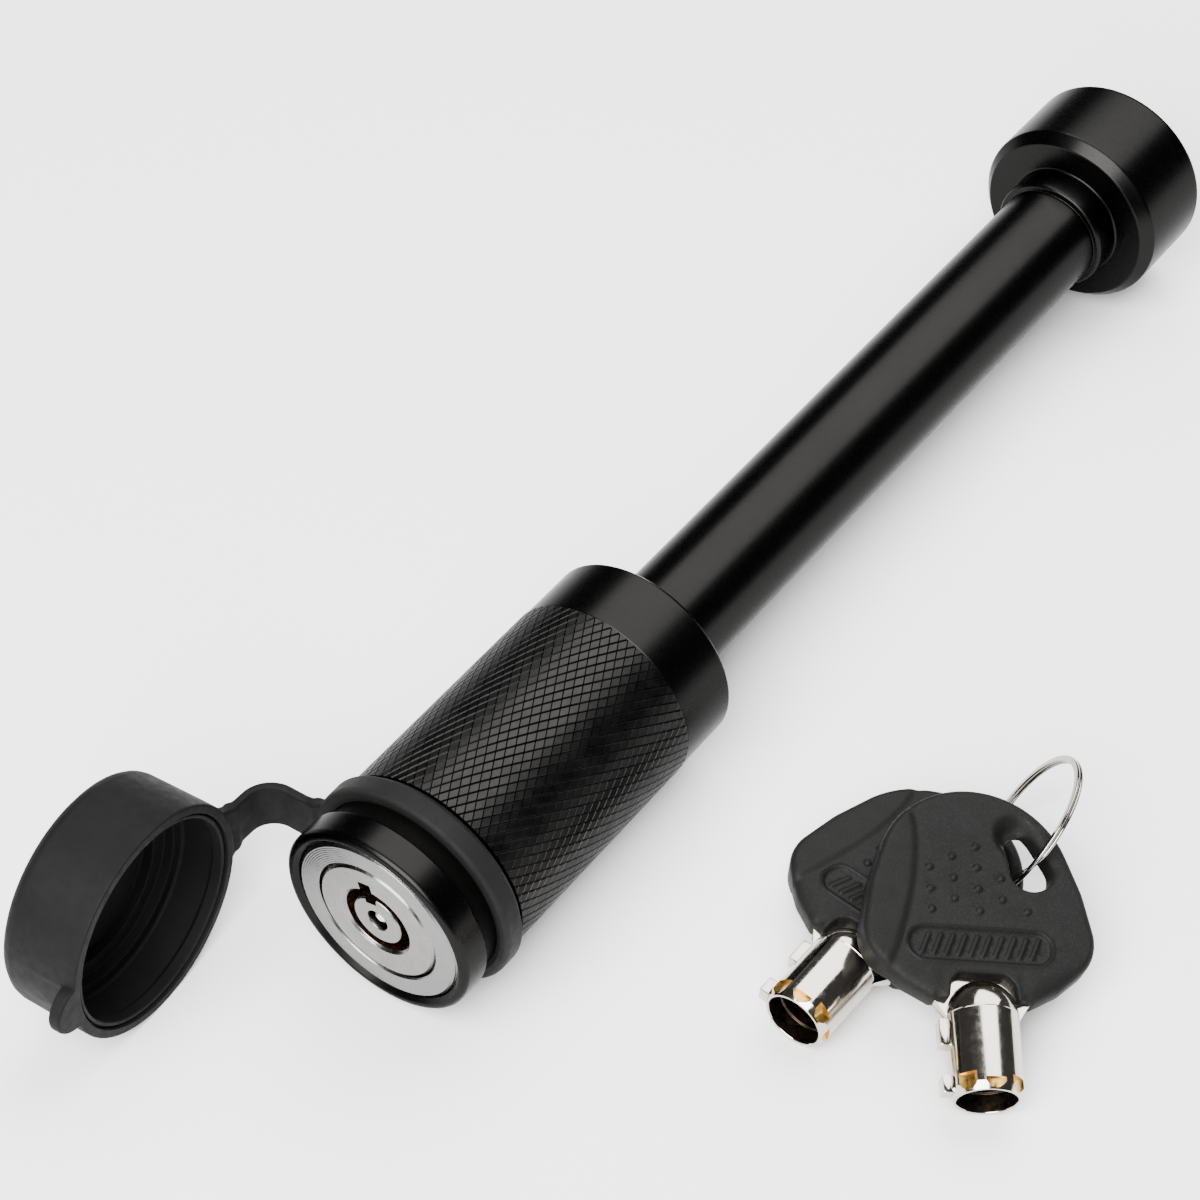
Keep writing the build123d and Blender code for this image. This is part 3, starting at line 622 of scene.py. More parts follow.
def make_knurl():
    """Diamond knurl: flat pads between two families of V grooves, cut square at both ends."""
    bm = bmesh.new()
    x_step = pi * KNURL_R / (KNURL_STARTS * tan(KNURL_HELIX))
    low, high = BAND_END + 0.02, KNURL_END
    rows = int((high - low) / x_step) + 3
    made = {}

    def vert(a, b, r):
        """Vertex at groove coordinates a and b, whole numbers on the two groove families."""
        wrap = KNURL_STARTS * ((a + b) // (2 * KNURL_STARTS))
        key = (round(a - wrap, 4), round(b - wrap, 4))
        if key not in made:
            angle = (a + b) * pi / KNURL_STARTS
            made[key] = bm.verts.new((low + (a - b - 1) * x_step, r * cos(angle), r * sin(angle)))
        return made[key]

    fine, broad = KNURL_GROOVES
    bottom = KNURL_TOP_R - KNURL_DEPTH
    for start in range(KNURL_STARTS):
        for row in range(-1, rows):
            i, j = start + (row + 1) // 2, start - row // 2
            left, right, back, front = i + fine, i + 1 - fine, j + broad, j + 1 - broad
            pad = [(left, back), (right, back), (right, front), (left, front)]
            grooves = [(i, j), (i + 1, j), (i + 1, j + 1), (i, j + 1)]
            tops = [vert(*corner, KNURL_TOP_R) for corner in pad]
            lows = [vert(*corner, bottom) for corner in grooves]
            bm.faces.new(tops)
            for k in range(4):
                m = (k + 1) % 4
                bm.faces.new((lows[k], lows[m], tops[m], tops[k]))
    for x, normal in ((low, (-1, 0, 0)), (high, (1, 0, 0))):
        whole = bm.verts[:] + bm.edges[:] + bm.faces[:]
        bmesh.ops.bisect_plane(
            bm, geom=whole, dist=1e-4, plane_co=(x, 0, 0), plane_no=normal, clear_outer=True
        )
    inner = []
    for x in (low, high):
        open_edges = [e for e in bm.edges if e.is_boundary]
        rim = [e for e in open_edges if all(abs(v.co.x - x) < 1e-3 for v in e.verts)]
        grown = bmesh.ops.extrude_edge_only(bm, edges=rim)["geom"]
        for v in [g for g in grown if isinstance(g, bmesh.types.BMVert)]:
            scale = (SLEEVE_RECESS_R + 0.01) / hypot(v.co.y, v.co.z)
            v.co.y *= scale
            v.co.z *= scale
        inner += [g for g in grown if isinstance(g, bmesh.types.BMEdge)]
    bmesh.ops.bridge_loops(bm, edges=inner)
    knurl = finish_mesh(bm, "lock_knurl", [KNURLED], sharp=14)
    give(knurl, "lock_head", "black_metal")


# -------------------- lock face
def make_bezel():
    """Outer chamfer, satin turned face and a fine inner chamfer, all in one nickel finish."""
    bore = CYLINDER_R + 0.2
    outline = rounded([
        (BEZEL_BACK, bore),
        (BEZEL_BACK, FRONT_BORE_R - 0.02),
        (INSERT_FACE - 0.5, FRONT_BORE_R - 0.02, 0.1),
        (INSERT_FACE, FRONT_BORE_R - 0.55, 0.08),
        (INSERT_FACE, bore + 0.16, 0.05),
        (INSERT_FACE - 0.2, bore, 0.05),
    ])
    bezel = turned("lock_bezel", outline, [BEZEL], angles=256, ring=True)
    give(bezel, "lock_head", "nickel", "face_ring")


def notch_cutter(radius, width, start, end):
    """A block along X at the keyway's angle."""
    bm = bmesh.new()
    turn = Matrix.Rotation(KEYWAY_ANGLE, 4, "X")
    place = turn @ Matrix.Translation((0, radius, 0))
    add_block(bm, (start, -width / 2, -width / 2), (end, width / 2, width / 2), 0.08, place)
    return finish_mesh(bm, "cutter", [CYLINDER])


def make_cylinder():
    """Fixed shell of the tubular cylinder with its keyway notch and O-ring groove."""
    start, shoulder = SHELL_LOW.x, 158.5
    oring_low, oring_high, oring_r = 157.2 - 0.6, 157.2 + 0.6, 11.6
    flange = FRONT_BORE_START + 0.05
    outline = rounded([
        (start, CHAMBER_R, 0.1),
        (start, CYLINDER_R, 0.1),
        (flange, CYLINDER_R),
        (flange, FLANGE_R, 0.15),
        (oring_low, FLANGE_R),
        (oring_low, oring_r),
        (oring_high, oring_r),
        (oring_high, FLANGE_R),
        (shoulder, FLANGE_R),
        (shoulder, CYLINDER_R),
        (INSERT_FACE - 0.5, CYLINDER_R, 0.06),
        (INSERT_FACE, CYLINDER_R - 0.42, 0.1),
        (INSERT_FACE, KEYWAY_R + 0.36, 0.1),
        (INSERT_FACE - 0.36, KEYWAY_R, 0.1),
        (CHAMBER_END, KEYWAY_R),
        (CHAMBER_END, CHAMBER_R),
    ])
    shell = turned("tubular_cylinder", outline, [CYLINDER], angles=256, ring=True)
    cut(shell, notch_cutter(radius=KEYWAY_R + 0.6, width=2.0, start=155.0, end=165.0))
    give(shell, "lock_head", "nickel", "cylinder_shell")


def make_springs():
    """Seven coil springs behind the driver pins, built at one fixed length."""
    bm = bmesh.new()
    wire, radius, turns = 0.11, 0.48, 9
    around, steps = 8, 14
    section = [(wire * cos(2 * pi * k / around), wire * sin(2 * pi * k / around)) for k in range(around)]
    length = SPRING_HIGH.x - SPRING_LOW.x - 2 * wire
    for place in range(1, PIN_PLACES):
        angle = KEYWAY_ANGLE + 2 * pi * place / PIN_PLACES
        centre = Vector((SPRING_LOW.x + wire, PIN_CIRCLE_R * cos(angle), PIN_CIRCLE_R * sin(angle)))
        path = []
        for step in range(turns * steps + 1):
            turn = 2 * pi * step / steps
            side = Vector((0, cos(turn), sin(turn)))
            point = centre + side * radius + Vector((length * step / (turns * steps), 0, 0))
            path.append((point, side, Vector((1, 0, 0))))
        add_sweep(bm, path, [section] * len(path))
    springs = finish_mesh(bm, "driver_springs", [STEEL])
    give(springs, "lock_head", "steel", "pin_springs")
    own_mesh(springs)


# -------------------- rubber ring, strap and cap
def make_strap_ring():
    """Rubber ring in the sleeve's groove, with a thin moulded step on its rear shoulder."""
    outline = rounded([
        (RING_LOW.x, 13.62),
        (RING_LOW.x, 14.75, 0.2),
        (RING_LOW.x + 0.55, 15.05, 0.2),
        (RING_LOW.x + 0.75, RING_HIGH.z, 0.35),
        (RING_HIGH.x, RING_HIGH.z, 0.7),
        (RING_HIGH.x, 14.3, 0.3),
        (RING_HIGH.x - 0.25, 13.62, 0.1),
    ])
    ring = turned("strap_ring_rubber", outline, [STRAP_RUBBER], angles=224, ring=True)
    give(ring, "cap_ring", "rubber", "strap_ring")


def cap_place():
    """Frame of the open cap: x from its mouth inwards, y away from the hinge, z up."""
    c, s = cos(CAP_OPEN), sin(CAP_OPEN)
    out, side = CAP_MOUTH_X - HINGE.x, -HINGE.y
    mouth = Vector((HINGE.x + out * c + side * s, HINGE.y - out * s + side * c, CAP_RISE))
    inwards, away = Vector((c, -s, 0)), Vector((s, c, 0))
    return placed(mouth, (inwards, away, Vector((0, 0, 1))))


def make_cap():
    """Dust cap: rounded end, flat mouth ring with a soft inner lip, two inner steps and a tab."""
    centre_r = CAP_R - 0.3
    widest = 0.999 * TAB_R / centre_r

    def tab_radius(angle):
        """Outer radius of the tab's plate at an angle from the away side."""
        swing = (angle + pi) % (2 * pi) - pi
        if abs(sin(swing)) > widest or cos(swing) < 0:
            return CAP_R
        reach = centre_r * cos(swing) + sqrt(TAB_R**2 - (centre_r * sin(swing)) ** 2)
        return max(CAP_R, reach)

    def outline(angle):
        """Closed section of the cap at an angle, with the same number of points everywhere."""
        plate = tab_radius(angle)
        out = plate - CAP_R
        edge = min(0.45, out * 0.3 + 0.3)
        back = TAB_THICKNESS + 0.02
        if out < 0.35:
            corner, foot = [(back - 0.2, plate)] * 7, CAP_R + out * 0.5
        else:
            corner, foot = [(back - 0.1, plate, min(edge * 0.8, out * 0.6))], CAP_R + 0.03 + out * 0.12
        tab = [(0, plate, edge), *corner, (back, foot), (back + 0.35, CAP_R)]
        return rounded([
            (0, 14.95, 0.1),
            *tab,
            (CAP_LENGTH, CAP_R - 0.15, 2.0),
            (CAP_LENGTH, 0),
            (CAP_FLOOR, 0),
            (CAP_FLOOR, 10.7, 0.15),
            (8.8, 10.7, 0.12),
            (8.8, 13.0, 0.15),
            (7.3, 13.0, 0.12),
            (7.3, CAP_BORE_R, 0.5),
            (2.4, CAP_BORE_R, 0.3),
            (1.9, CAP_LIP_R, 0.25),
            (0.35, CAP_LIP_R, 0.2),
            (0.35, 14.62, 0.12),
            (1.1, 14.68),
            (1.1, 14.95),
        ], 4)

    tab_half, near, far = 13.5, 0.3, 1.5
    fine = [radians(-tab_half + near * i) for i in range(int(2 * tab_half / near) + 1)]
    coarse = [radians(tab_half + far + far * i) for i in range(int((360 - 2 * tab_half) / far) - 1)]
    cap = turned("dust_cap_rubber", outline, [RUBBER], fine + coarse, ring=True, place=cap_place())
    give(cap, "cap", "rubber", "dust_cap")


def make_strap():
    """Ribbon between ring and cap, flaring into both, with a cross ridge near each end."""
    half_thick, half_wide, corner_r = 0.6, 3.75, 0.4
    flare_length, flare_wide, flare_thick = 3.6, 1.3, 0.3
    ridge_height, ridge_half = 0.28, 0.75
    ring_side = Vector((154.9, -14.7, 0))
    turn_start = Vector((155.3, -20.2, 0))
    cap_side = Vector((164.3, -24.3, 0))
    bend_r = 4.1
    centre = turn_start + Vector((bend_r, 0, 0))
    points = [ring_side.lerp(turn_start, step / 12) for step in range(13)]
    for step in range(1, 17):
        angle = pi + (pi / 2) * step / 16
        points.append(centre + Vector((bend_r * cos(angle), bend_r * sin(angle), 0)))
    last = points[-1]
    points += [last.lerp(cap_side, step / 12) for step in range(1, 13)]
    lengths = [0]
    for before, after in zip(points, points[1:]):
        lengths.append(lengths[-1] + (after - before).length)
    total = lengths[-1]
    path, sections = [], []
    for index, point in enumerate(points):
        ahead = points[min(index + 1, len(points) - 1)]
        behind = points[max(index - 1, 0)]
        along = (ahead - behind).normalized()
        share = lengths[index] / total
        rise = CAP_RISE * share * share * (3 - 2 * share)
        here = lengths[index]
        flare = max(0.0, 1 - here / flare_length) ** 2 + max(0.0, 1 - (total - here) / flare_length) ** 2
        ridge = sum(max(0.0, 1 - ((here - at) / ridge_half) ** 2) for at in (1.55, total - 2.0))
        wide = half_wide + flare_wide * flare
        thick = half_thick + flare_thick * flare + ridge_height * ridge
        side = Vector((along.y, -along.x, 0))
        path.append((point + Vector((0, 0, rise)), side, Vector((0, 0, 1))))
        corners = ((-1, -1), (1, -1), (1, 1), (-1, 1))
        sections.append(rounded([(u * thick, v * wide, corner_r) for u, v in corners], 3))
    bm = bmesh.new()
    add_sweep(bm, path, sections)
    strap = finish_mesh(bm, "cap_strap_rubber", [RUBBER], sharp=60)
    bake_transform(strap)
    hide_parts("cap_strap")


# -------------------- keys
def key_place(tip_x, tip_y, heading, lift, roll):
    """Frame of a lying key: y from its tip to its bow, z square to the bow's face."""
    turn, tilt, lean = radians(heading), radians(lift), radians(roll)
    to_bow = Vector((cos(turn) * cos(tilt), sin(turn) * cos(tilt), sin(tilt)))
    right = Vector((sin(turn), -cos(turn), 0))
    up = right.cross(to_bow)
    tip = Vector((tip_x, tip_y, FLOOR + TUBE_R * cos(tilt) + SEAT_GAP))
    return placed(tip, (right * cos(lean) - up * sin(lean), to_bow, up * cos(lean) + right * sin(lean)))


# Bow, in the key's own frame: x across, y from the tip to the bow.
BOW_T = 2.2
BOW_THINNEST = 0.35
OUTER_EDGE_R, NOTCH_EDGE_R, HOLE_EDGE_R = 0.95, 0.4, 0.4
WAIST_DROP = 0.42
STEP_HEIGHT = 0.3
BADGE_DEPTH, BADGE_LIP, BAR_HEIGHT = 0.34, 0.16, 0.26
DOME_HEIGHT = 0.36
DOMES = [(-6.2, 30.8), (-6.2, 27.8), (-6.2, 24.9), (-3.1, 32.5), (-3.1, 29.5), (-3.1, 26.6)]
DOMES += [(0.1, 34.1), (0.1, 31.1), (0.1, 28.1), (0.1, 25.0), (3.2, 29.8), (3.2, 26.8), (6.4, 25.3)]
DOME_R = 0.54
BADGE_CENTRE = Vector((-0.1, 20.2))
BADGE_HALF = 9.3
BADGE_R = 2.15
STEP_LINE = [(-8.7, 39.5), (-8.0, 35.7), (-8.4, 30.1), (-9.4, 25.3), (-10.8, 20.5), (-12.3, 16.8)]
SCOOP_FROM, SCOOP_TO = Vector((5.6, 36.0)), Vector((8.3, 31.6))
SCOOP_R, SCOOP_FLAT_R = 3.3, 1.0


def hull(circles, count=120):
    """Outline of the convex hull of (x, y, r) circles, counterclockwise."""
    cloud = []
    for x, y, r in circles:
        turns = [2 * pi * i / count for i in range(count)]
        cloud += [(x + r * cos(turn), y + r * sin(turn)) for turn in turns]
    cloud = sorted(set((round(x, 6), round(y, 6)) for x, y in cloud))

    def chain(points):
        line = []
        for p in points:
            while len(line) > 1:
                (ax, ay), (bx, by) = line[-2], line[-1]
                if (bx - ax) * (p[1] - ay) - (by - ay) * (p[0] - ax) > 0:
                    break
                line.pop()
            line.append(p)
        return line[:-1]

    return chain(cloud) + chain(cloud[::-1])


def spaced(loop, gap):
    """The same loop with no side longer than gap, and no side much shorter than a third of it."""
    out = []
    for a, b in zip(loop, loop[1:] + loop[:1]):
        if out and hypot(a[0] - out[-1][0], a[1] - out[-1][1]) < gap / 3:
            continue
        parts = max(1, int(hypot(b[0] - a[0], b[1] - a[1]) / gap + 0.999))
        for k in range(parts):
            out.append((a[0] + (b[0] - a[0]) * k / parts, a[1] + (b[1] - a[1]) * k / parts))
    return out


def line_distance(points, line, closed):
    """Distance of each point to a polyline."""
    start = np.array(line, float)
    end = np.roll(start, -1, axis=0) if closed else start[1:]
    start = start if closed else start[:-1]
    along = end - start
    rel = points[:, None, :] - start[None, :, :]
    share = np.clip((rel * along).sum(2) / (along * along).sum(1), 0, 1)
    gap = rel - share[..., None] * along
    return np.sqrt((gap * gap).sum(2)).min(1)


def offset(line, distance, closed=True):
    """Points moved sideways off a polyline, to its left for a positive distance."""
    pts = np.array(line, float)
    ahead = np.roll(pts, -1, axis=0) - np.roll(pts, 1, axis=0)
    if not closed:
        ahead[0], ahead[-1] = pts[1] - pts[0], pts[-1] - pts[-2]
    ahead /= np.linalg.norm(ahead, axis=1)[:, None]
    return pts + np.stack([-ahead[:, 1], ahead[:, 0]], 1) * distance


def smooth_curve(points, gap):
    """Catmull-Rom curve through points, in steps of about gap."""
    pts = [Vector(p) for p in points]
    pts = [pts[0] * 2 - pts[1]] + pts + [pts[-1] * 2 - pts[-2]]
    out = []
    for a, b, c, d in zip(pts, pts[1:], pts[2:], pts[3:]):
        count = max(2, int((c - b).length / gap))
        for k in range(count):
            t = k / count
            out.append(tuple(0.5 * (2 * b + (c - a) * t + (2 * a - 5 * b + 4 * c - d) * t * t
                                    + (3 * b - a - 3 * c + d) * t**3)))
    return out + [tuple(pts[-2])]


def ease(x):
    """Smooth step from 0 at 0 to 1 at 1."""
    x = np.clip(x, 0, 1)
    return x * x * (3 - 2 * x)


def bow_loops():
    """Outer loop with the notch, and the ring hole, both counterclockwise."""
    half = [(4.2, 25.8, 10.2), (9.0, 22.0, 6.2), (7.0, 19.6, 5.7), (6.5, 13.4, 0.5)]
    body = hull([(0, 29.4, 13.0)] + half + [(-x, y, r) for x, y, r in half])
    foot = min(y for _, y in body)
    right = [p for p in body if not (p[1] < foot + 0.01 and abs(p[0]) < 5.4)]
    starts = [(y > foot + 0.4 or x < 0, x, i) for i, (x, y) in enumerate(right)]
    first = min(starts)[2]
    right = right[first:] + right[:first]
    side = [(5.6, foot), (4.45, foot, 0.5), (4.1, 15.2, 0.4), (3.0, 16.3, 0.9)]
    notch = rounded([(-x, *rest) for x, *rest in side] + side[::-1], 6)[1:-1]
    outer = spaced(right + notch, 0.42)
    hole = spaced(hull([(7.4, 31.2, 2.9), (6.4, 34.6, 2.1)]), 0.3)
    return outer, hole


def badge_bars():
    """Centre lines of the slanted grip bars inside the badge."""
    return [[(x - 0.5, 19.0), (x + 0.5, 21.4)] for x in np.linspace(-7.3, 7.1, 10)]


def badge_loop(grow=0.0):
    """Stadium outline of the badge."""
    x, y = BADGE_CENTRE
    reach = BADGE_HALF - BADGE_R
    return hull([(x - reach, y, BADGE_R + grow), (x + reach, y, BADGE_R + grow)], 72)


def rounding(gap, radius):
    """Drop of a rounded edge at a distance from it."""
    return radius - np.sqrt(np.maximum(0, radius**2 - np.maximum(0, radius - gap) ** 2))


def bow_height(points, outer, hole, badge, step):
    """Half thickness of the bow at each point."""
    edge = line_distance(points, outer, True)
    rim = line_distance(points, hole, True)
    in_notch = ease((5.6 - np.abs(points[:, 0])) / 0.8) * ease((17.4 - points[:, 1]) / 0.8)
    drop = rounding(edge, OUTER_EDGE_R + (NOTCH_EDGE_R - OUTER_EDGE_R) * in_notch)
    drop += rounding(rim, HOLE_EDGE_R) * 0.8
    waist = ease((19.5 - points[:, 1]) / 4) * ease((np.abs(points[:, 0]) - 4.2) / 1.5)
    drop += WAIST_DROP * waist * (1 - ease(edge / 2.3))
    side = line_distance(points, step, False)
    curve = np.array(step)
    order = np.argsort(curve[:, 1])
    left = points[:, 0] < np.interp(points[:, 1], curve[order, 1], curve[order, 0])
    signed = np.where(left, -side, side)
    drop += STEP_HEIGHT * ease((signed + 0.55) / 1.1) - STEP_HEIGHT
    drop += 0.12 * np.exp(-((signed - 0.75) / 0.4) ** 2)
    stadium = line_distance(points, badge, True)
    deep = np.where(inside(points, badge), stadium, -stadium)
    drop += BADGE_DEPTH * ease((deep + 0.12) / 0.3)
    drop -= BADGE_LIP * (1 - ease(np.abs(deep + 0.3) / 0.3))
    for bar in badge_bars():
        drop -= BAR_HEIGHT * (1 - ease((line_distance(points, bar, False) - 0.18) / 0.24))
    for x, y in DOMES:
        gap = np.hypot(points[:, 0] - x, points[:, 1] - y) / DOME_R
        drop -= DOME_HEIGHT * np.sqrt(np.maximum(0, 1 - gap * gap))
        drop += 0.07 * np.exp(-((gap - 1.25) / 0.3) ** 2)
    axis = SCOOP_TO - SCOOP_FROM
    rel = points - np.array(SCOOP_FROM)
    share = np.clip(rel @ np.array(axis) / axis.length_squared, 0, 1)
    gap = rel - share[:, None] * np.array(axis)
    away = np.sqrt((gap * gap).sum(1))
    scoop = 1.75 - 0.75 * share
    drop += scoop * (1 - ease((away - SCOOP_FLAT_R) / (SCOOP_R - SCOOP_FLAT_R)))
    return np.maximum(BOW_THINNEST, BOW_T - drop)


def bow_points(outer, hole, badge, step):
    """Inner points of the bow's face: a grid, rows along the edges and rows round each feature."""
    xs, ys = np.meshgrid(np.arange(-15.5, 15.6, 0.62), np.arange(12.5, 42.6, 0.62))
    sets = [np.stack([xs.ravel(), ys.ravel()], 1)]
    fine_x, fine_y = np.meshgrid(np.arange(1.8, 12.2, 0.3), np.arange(27.6, 40.2, 0.3))
    sets.append(np.stack([fine_x.ravel(), fine_y.ravel()], 1))
    sets += [offset(outer, gap) for gap in (0.1, 0.28, 0.55, 0.95)]
    sets += [offset(hole, -gap) for gap in (0.12, 0.3)]
    sets += [offset(step, gap, closed=False) for gap in (-0.55, -0.28, 0, 0.28, 0.55, 0.9)]
    sets += [np.array(spaced(badge_loop(grow), 0.35)) for grow in (-0.18, -0.03, 0.12, 0.3, 0.45, 0.6)]
    for bar in badge_bars():
        for reach in (0.18, 0.3, 0.42):
            sets.append(np.array(spaced(hull([(*bar[0], reach), (*bar[1], reach)], 24), 0.2)))
    for x, y in DOMES:
        sets.append(np.array([(x, y)]))
        for reach, count in ((0.35, 8), (0.7, 12), (0.9, 14), (1.0, 16), (1.3, 16)):
            angles = np.arange(count) * 2 * pi / count
            circle = np.stack([np.cos(angles), np.sin(angles)], 1)
            sets.append(np.array([x, y]) + reach * DOME_R * circle)
    return np.concatenate(sets)


def inside(points, loop):
    """Which points lie inside a closed loop."""
    loop = np.array(loop)
    after = np.roll(loop, -1, axis=0)
    x, y = points[:, 0:1], points[:, 1:2]
    crosses = (loop[:, 1] > y) != (after[:, 1] > y)
    with np.errstate(divide="ignore", invalid="ignore"):
        at = (after[:, 0] - loop[:, 0]) * (y - loop[:, 1]) / (after[:, 1] - loop[:, 1]) + loop[:, 0]
    return (crosses & (x < at)).sum(1) % 2 == 1


def bow_mesh():
    """Moulded bow: two mirrored relief faces over one outline, with rounded walls."""
    outer, hole = bow_loops()
    step = smooth_curve(STEP_LINE, 0.45)
    badge = spaced(badge_loop(), 0.35)
    extra = bow_points(outer, hole, badge, step)
    keep = inside(extra, outer) & ~inside(extra, hole)
    keep &= (line_distance(extra, outer, True) > 0.07) & (line_distance(extra, hole, True) > 0.07)
    extra = extra[keep]
    _, first = np.unique(np.round(extra / 0.09), axis=0, return_index=True)
    extra = extra[np.sort(first)]
    loops = outer + hole
    flat = [Vector(p) for p in loops] + [Vector(p) for p in extra]
    count = len(outer)
    edges = [(i, (i + 1) % count) for i in range(count)]
    edges += [(count + i, count + (i + 1) % len(hole)) for i in range(len(hole))]
    result = delaunay_2d_cdt(flat, edges, [], 0, 1e-6)
    points = np.array([tuple(v) for v in result[0]])
    height = bow_height(points, outer, hole, badge, step)
    bm = bmesh.new()
    top = [bm.verts.new((x, y, h)) for (x, y), h in zip(points, height)]
    under = [bm.verts.new((x, y, -h)) for (x, y), h in zip(points, height)]
    middle = np.array([points[list(face)].mean(0) for face in result[2]])
    solid = inside(middle, outer) & ~inside(middle, hole)
    for face, real in zip(result[2], solid):
        if real:
            bm.faces.new([top[i] for i in face])
            bm.faces.new([under[i] for i in reversed(face)])
    bm.edges.ensure_lookup_table()
    rim = [e for e in bm.edges if e.is_boundary and e.verts[0].co.z > 0]
    partner = dict(zip(top, under))
    for edge in rim:
        a, b = edge.verts
        bm.faces.new((a, b, partner[b], partner[a]))
    return bm


def make_bow(name, place):
    """Moulded bow of one key."""
    bow = finish_mesh(bow_mesh(), f"key_bow_moulding_{name}", [BOW], sharp=50, place=place)
    give(bow, f"key_{name}", "bow_plastic", f"key_bow_{name}")


BIT_DEPTHS = (2.4, 1.5, 2.1, 1.3, 0.9, 1.8, 1.2)
LUGS = ((0.5, 2.9), (6.8, 10.4))
LUG_REACH, LUG_ROOT, LUG_HALF = 1.05, 0.35, 1.05


def make_key_tube(name, place):
    """Tubular key: chamfered tip, stepped bore, seven bit cuts, two lugs and a domed root."""
    dome = []
    for step in range(17):
        angle = pi / 2 * step / 16
        dome.append((TUBE_LENGTH + 0.12 + TUBE_R * sin(angle), TUBE_R * cos(angle) * 0.995))
    outline = rounded([
        (10.0, 0),
        (10.0, 3.3, 0.2),
        (6.2, 3.3, 0.1),
        (6.2, 3.62, 0.1),
        (2.6, 3.62, 0.08),
        (2.5, TUBE_BORE_R, 0.08),
        (0.12, TUBE_BORE_R, 0.05),
        (0, 3.92, 0.03),
        (0, 4.18, 0.08),
        (1.0, TUBE_R - 0.02, 0.25),
        (TUBE_LENGTH - 0.06, TUBE_R),
        (TUBE_LENGTH, TUBE_R - 0.07),
        (TUBE_LENGTH + 0.06, TUBE_R - 0.02),
        *dome[1:-1],
        (TUBE_LENGTH + 0.12 + TUBE_R, 0),
    ])
    along = place @ Matrix.Rotation(pi / 2, 4, "Z")
    metals = [KEY_NICKEL, BIT_BRASS, BORE_SHADE_BRASS]
    tube = turned(f"key_tube_nickel_{name}", outline, metals, angles=160, sharp=30, place=along)
    bm = bmesh.new()
    cutter_r, centre_r, sides = 3.2, TUBE_R + 2.72, 40
    turns = [2 * pi * k / sides for k in range(sides)]
    for index, depth in enumerate(BIT_DEPTHS):
        angle = radians(135 - 45 * index)
        y0, z0 = -centre_r * cos(angle), centre_r * sin(angle)
        profile = [(y0 - cutter_r * cos(turn), z0 + cutter_r * sin(turn)) for turn in turns]
        add_prism(bm, [(-1, y, z) for y, z in profile], [(depth, y, z) for y, z in profile])
    for face in bm.faces:
        face.material_index = 1
    cut(tube, finish_mesh(bm, "cutter", [KEY_NICKEL, BIT_BRASS], place=along))
    # Faces inside the bore take the brass with painted shade.
    for face in tube.data.polygons:
        _, y, z = face.center / MM
        if hypot(y, z) < TUBE_BORE_R + 0.01:
            face.material_index = 2
    give(tube, f"key_{name}", "nickel", f"key_tube_{name}")
    bm = bmesh.new()
    for start, end in LUGS:
        low, high = (-TUBE_R - LUG_REACH, start, -LUG_HALF), (-TUBE_R + LUG_ROOT, end, LUG_HALF)
        add_block(bm, low, high, bevel=0.2)
    lugs = finish_mesh(bm, f"key_lugs_{name}", [KEY_NICKEL], sharp=40, place=place)
    give(lugs, f"key_{name}", "nickel")


def make_blade(name, place):
    """Flat root plate between tube and bow, with its two pointed shoulders."""
    half = 0.72
    right = [(4.55, 9.7), (4.8, 11.2), (6.95, 13.95), (6.3, 14.7), (6.3, 23.5)]
    outline = [(-x, y) for x, y in right[:1]] + right + [(-x, y) for x, y in right[:0:-1]]
    bm = bmesh.new()
    add_prism(bm, [(x, y, -half) for x, y in outline], [(x, y, half) for x, y in outline])
    rim = [e for e in bm.edges if abs(e.verts[0].co.z - e.verts[1].co.z) < 1e-6]
    bmesh.ops.bevel(bm, geom=rim, offset=0.16, segments=2, profile=0.5, affect="EDGES")
    blade = finish_mesh(bm, f"key_root_plate_{name}", [KEY_NICKEL], place=place)
    give(blade, f"key_{name}", "nickel", f"key_blade_{name}")


def make_key_ring():
    """Split ring: two turns of flattened wire with a short crossover."""
    normal = RING_NORMAL.normalized()
    side = normal.cross(Vector((0, 0, 1))).normalized()
    other = normal.cross(side)
    wide, thick, corner_r = 0.46, 0.21, 0.17
    corners = ((-1, -1), (1, -1), (1, 1), (-1, 1))
    wire = rounded([(u * wide, v * thick, corner_r) for u, v in corners], 3)
    path, sections = [], []
    steps, turns = 150, 2
    start, lap = radians(205), 2 * pi * 0.992
    for step in range(steps * turns + 1):
        share = step / steps
        angle = start + lap * share
        lift = -0.25 + 0.5 * float(ease((share - 0.93) / 0.14))
        out = side * cos(angle) + other * sin(angle)
        path.append((RING_CENTRE + out * RING_MEAN_R + normal * lift, out, normal))
        taper = min(1.0, 0.35 + min(step, steps * turns - step) / 6)
        sections.append([(u * taper, v * taper) for u, v in wire])
    bm = bmesh.new()
    add_sweep(bm, path, sections)
    ring = finish_mesh(bm, "split_ring", [RING_NICKEL], sharp=50)
    give(ring, "ring", "nickel", "key_ring")


# -------------------- inner CAD parts
def finish_inner_parts():
    """Gives every CAD node that stays its procedural finish."""
    finishes = {
        SEAL_RUBBER: ("shaft_seal", "cylinder_oring"),
        CYLINDER: ("rotor_spindle",),
        BRASS: ("driver_bushing", "key_pins", "driver_pins"),
        STEEL: ("ball_carrier", "cam_cup", "locking_ball_a", "locking_ball_b", "anchor_pin",
                "cylinder_dowel", "spindle_clip"),
        PIN_NICKEL: ("drill_pin",),
    }
    for material, names in finishes.items():
        for name in names:
            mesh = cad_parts[name].data
            mesh.materials.clear()
            mesh.materials.append(material)
            mesh.polygons.foreach_set("use_smooth", [True] * len(mesh.polygons))
            mesh.set_sharp_from_angle(angle=radians(30))


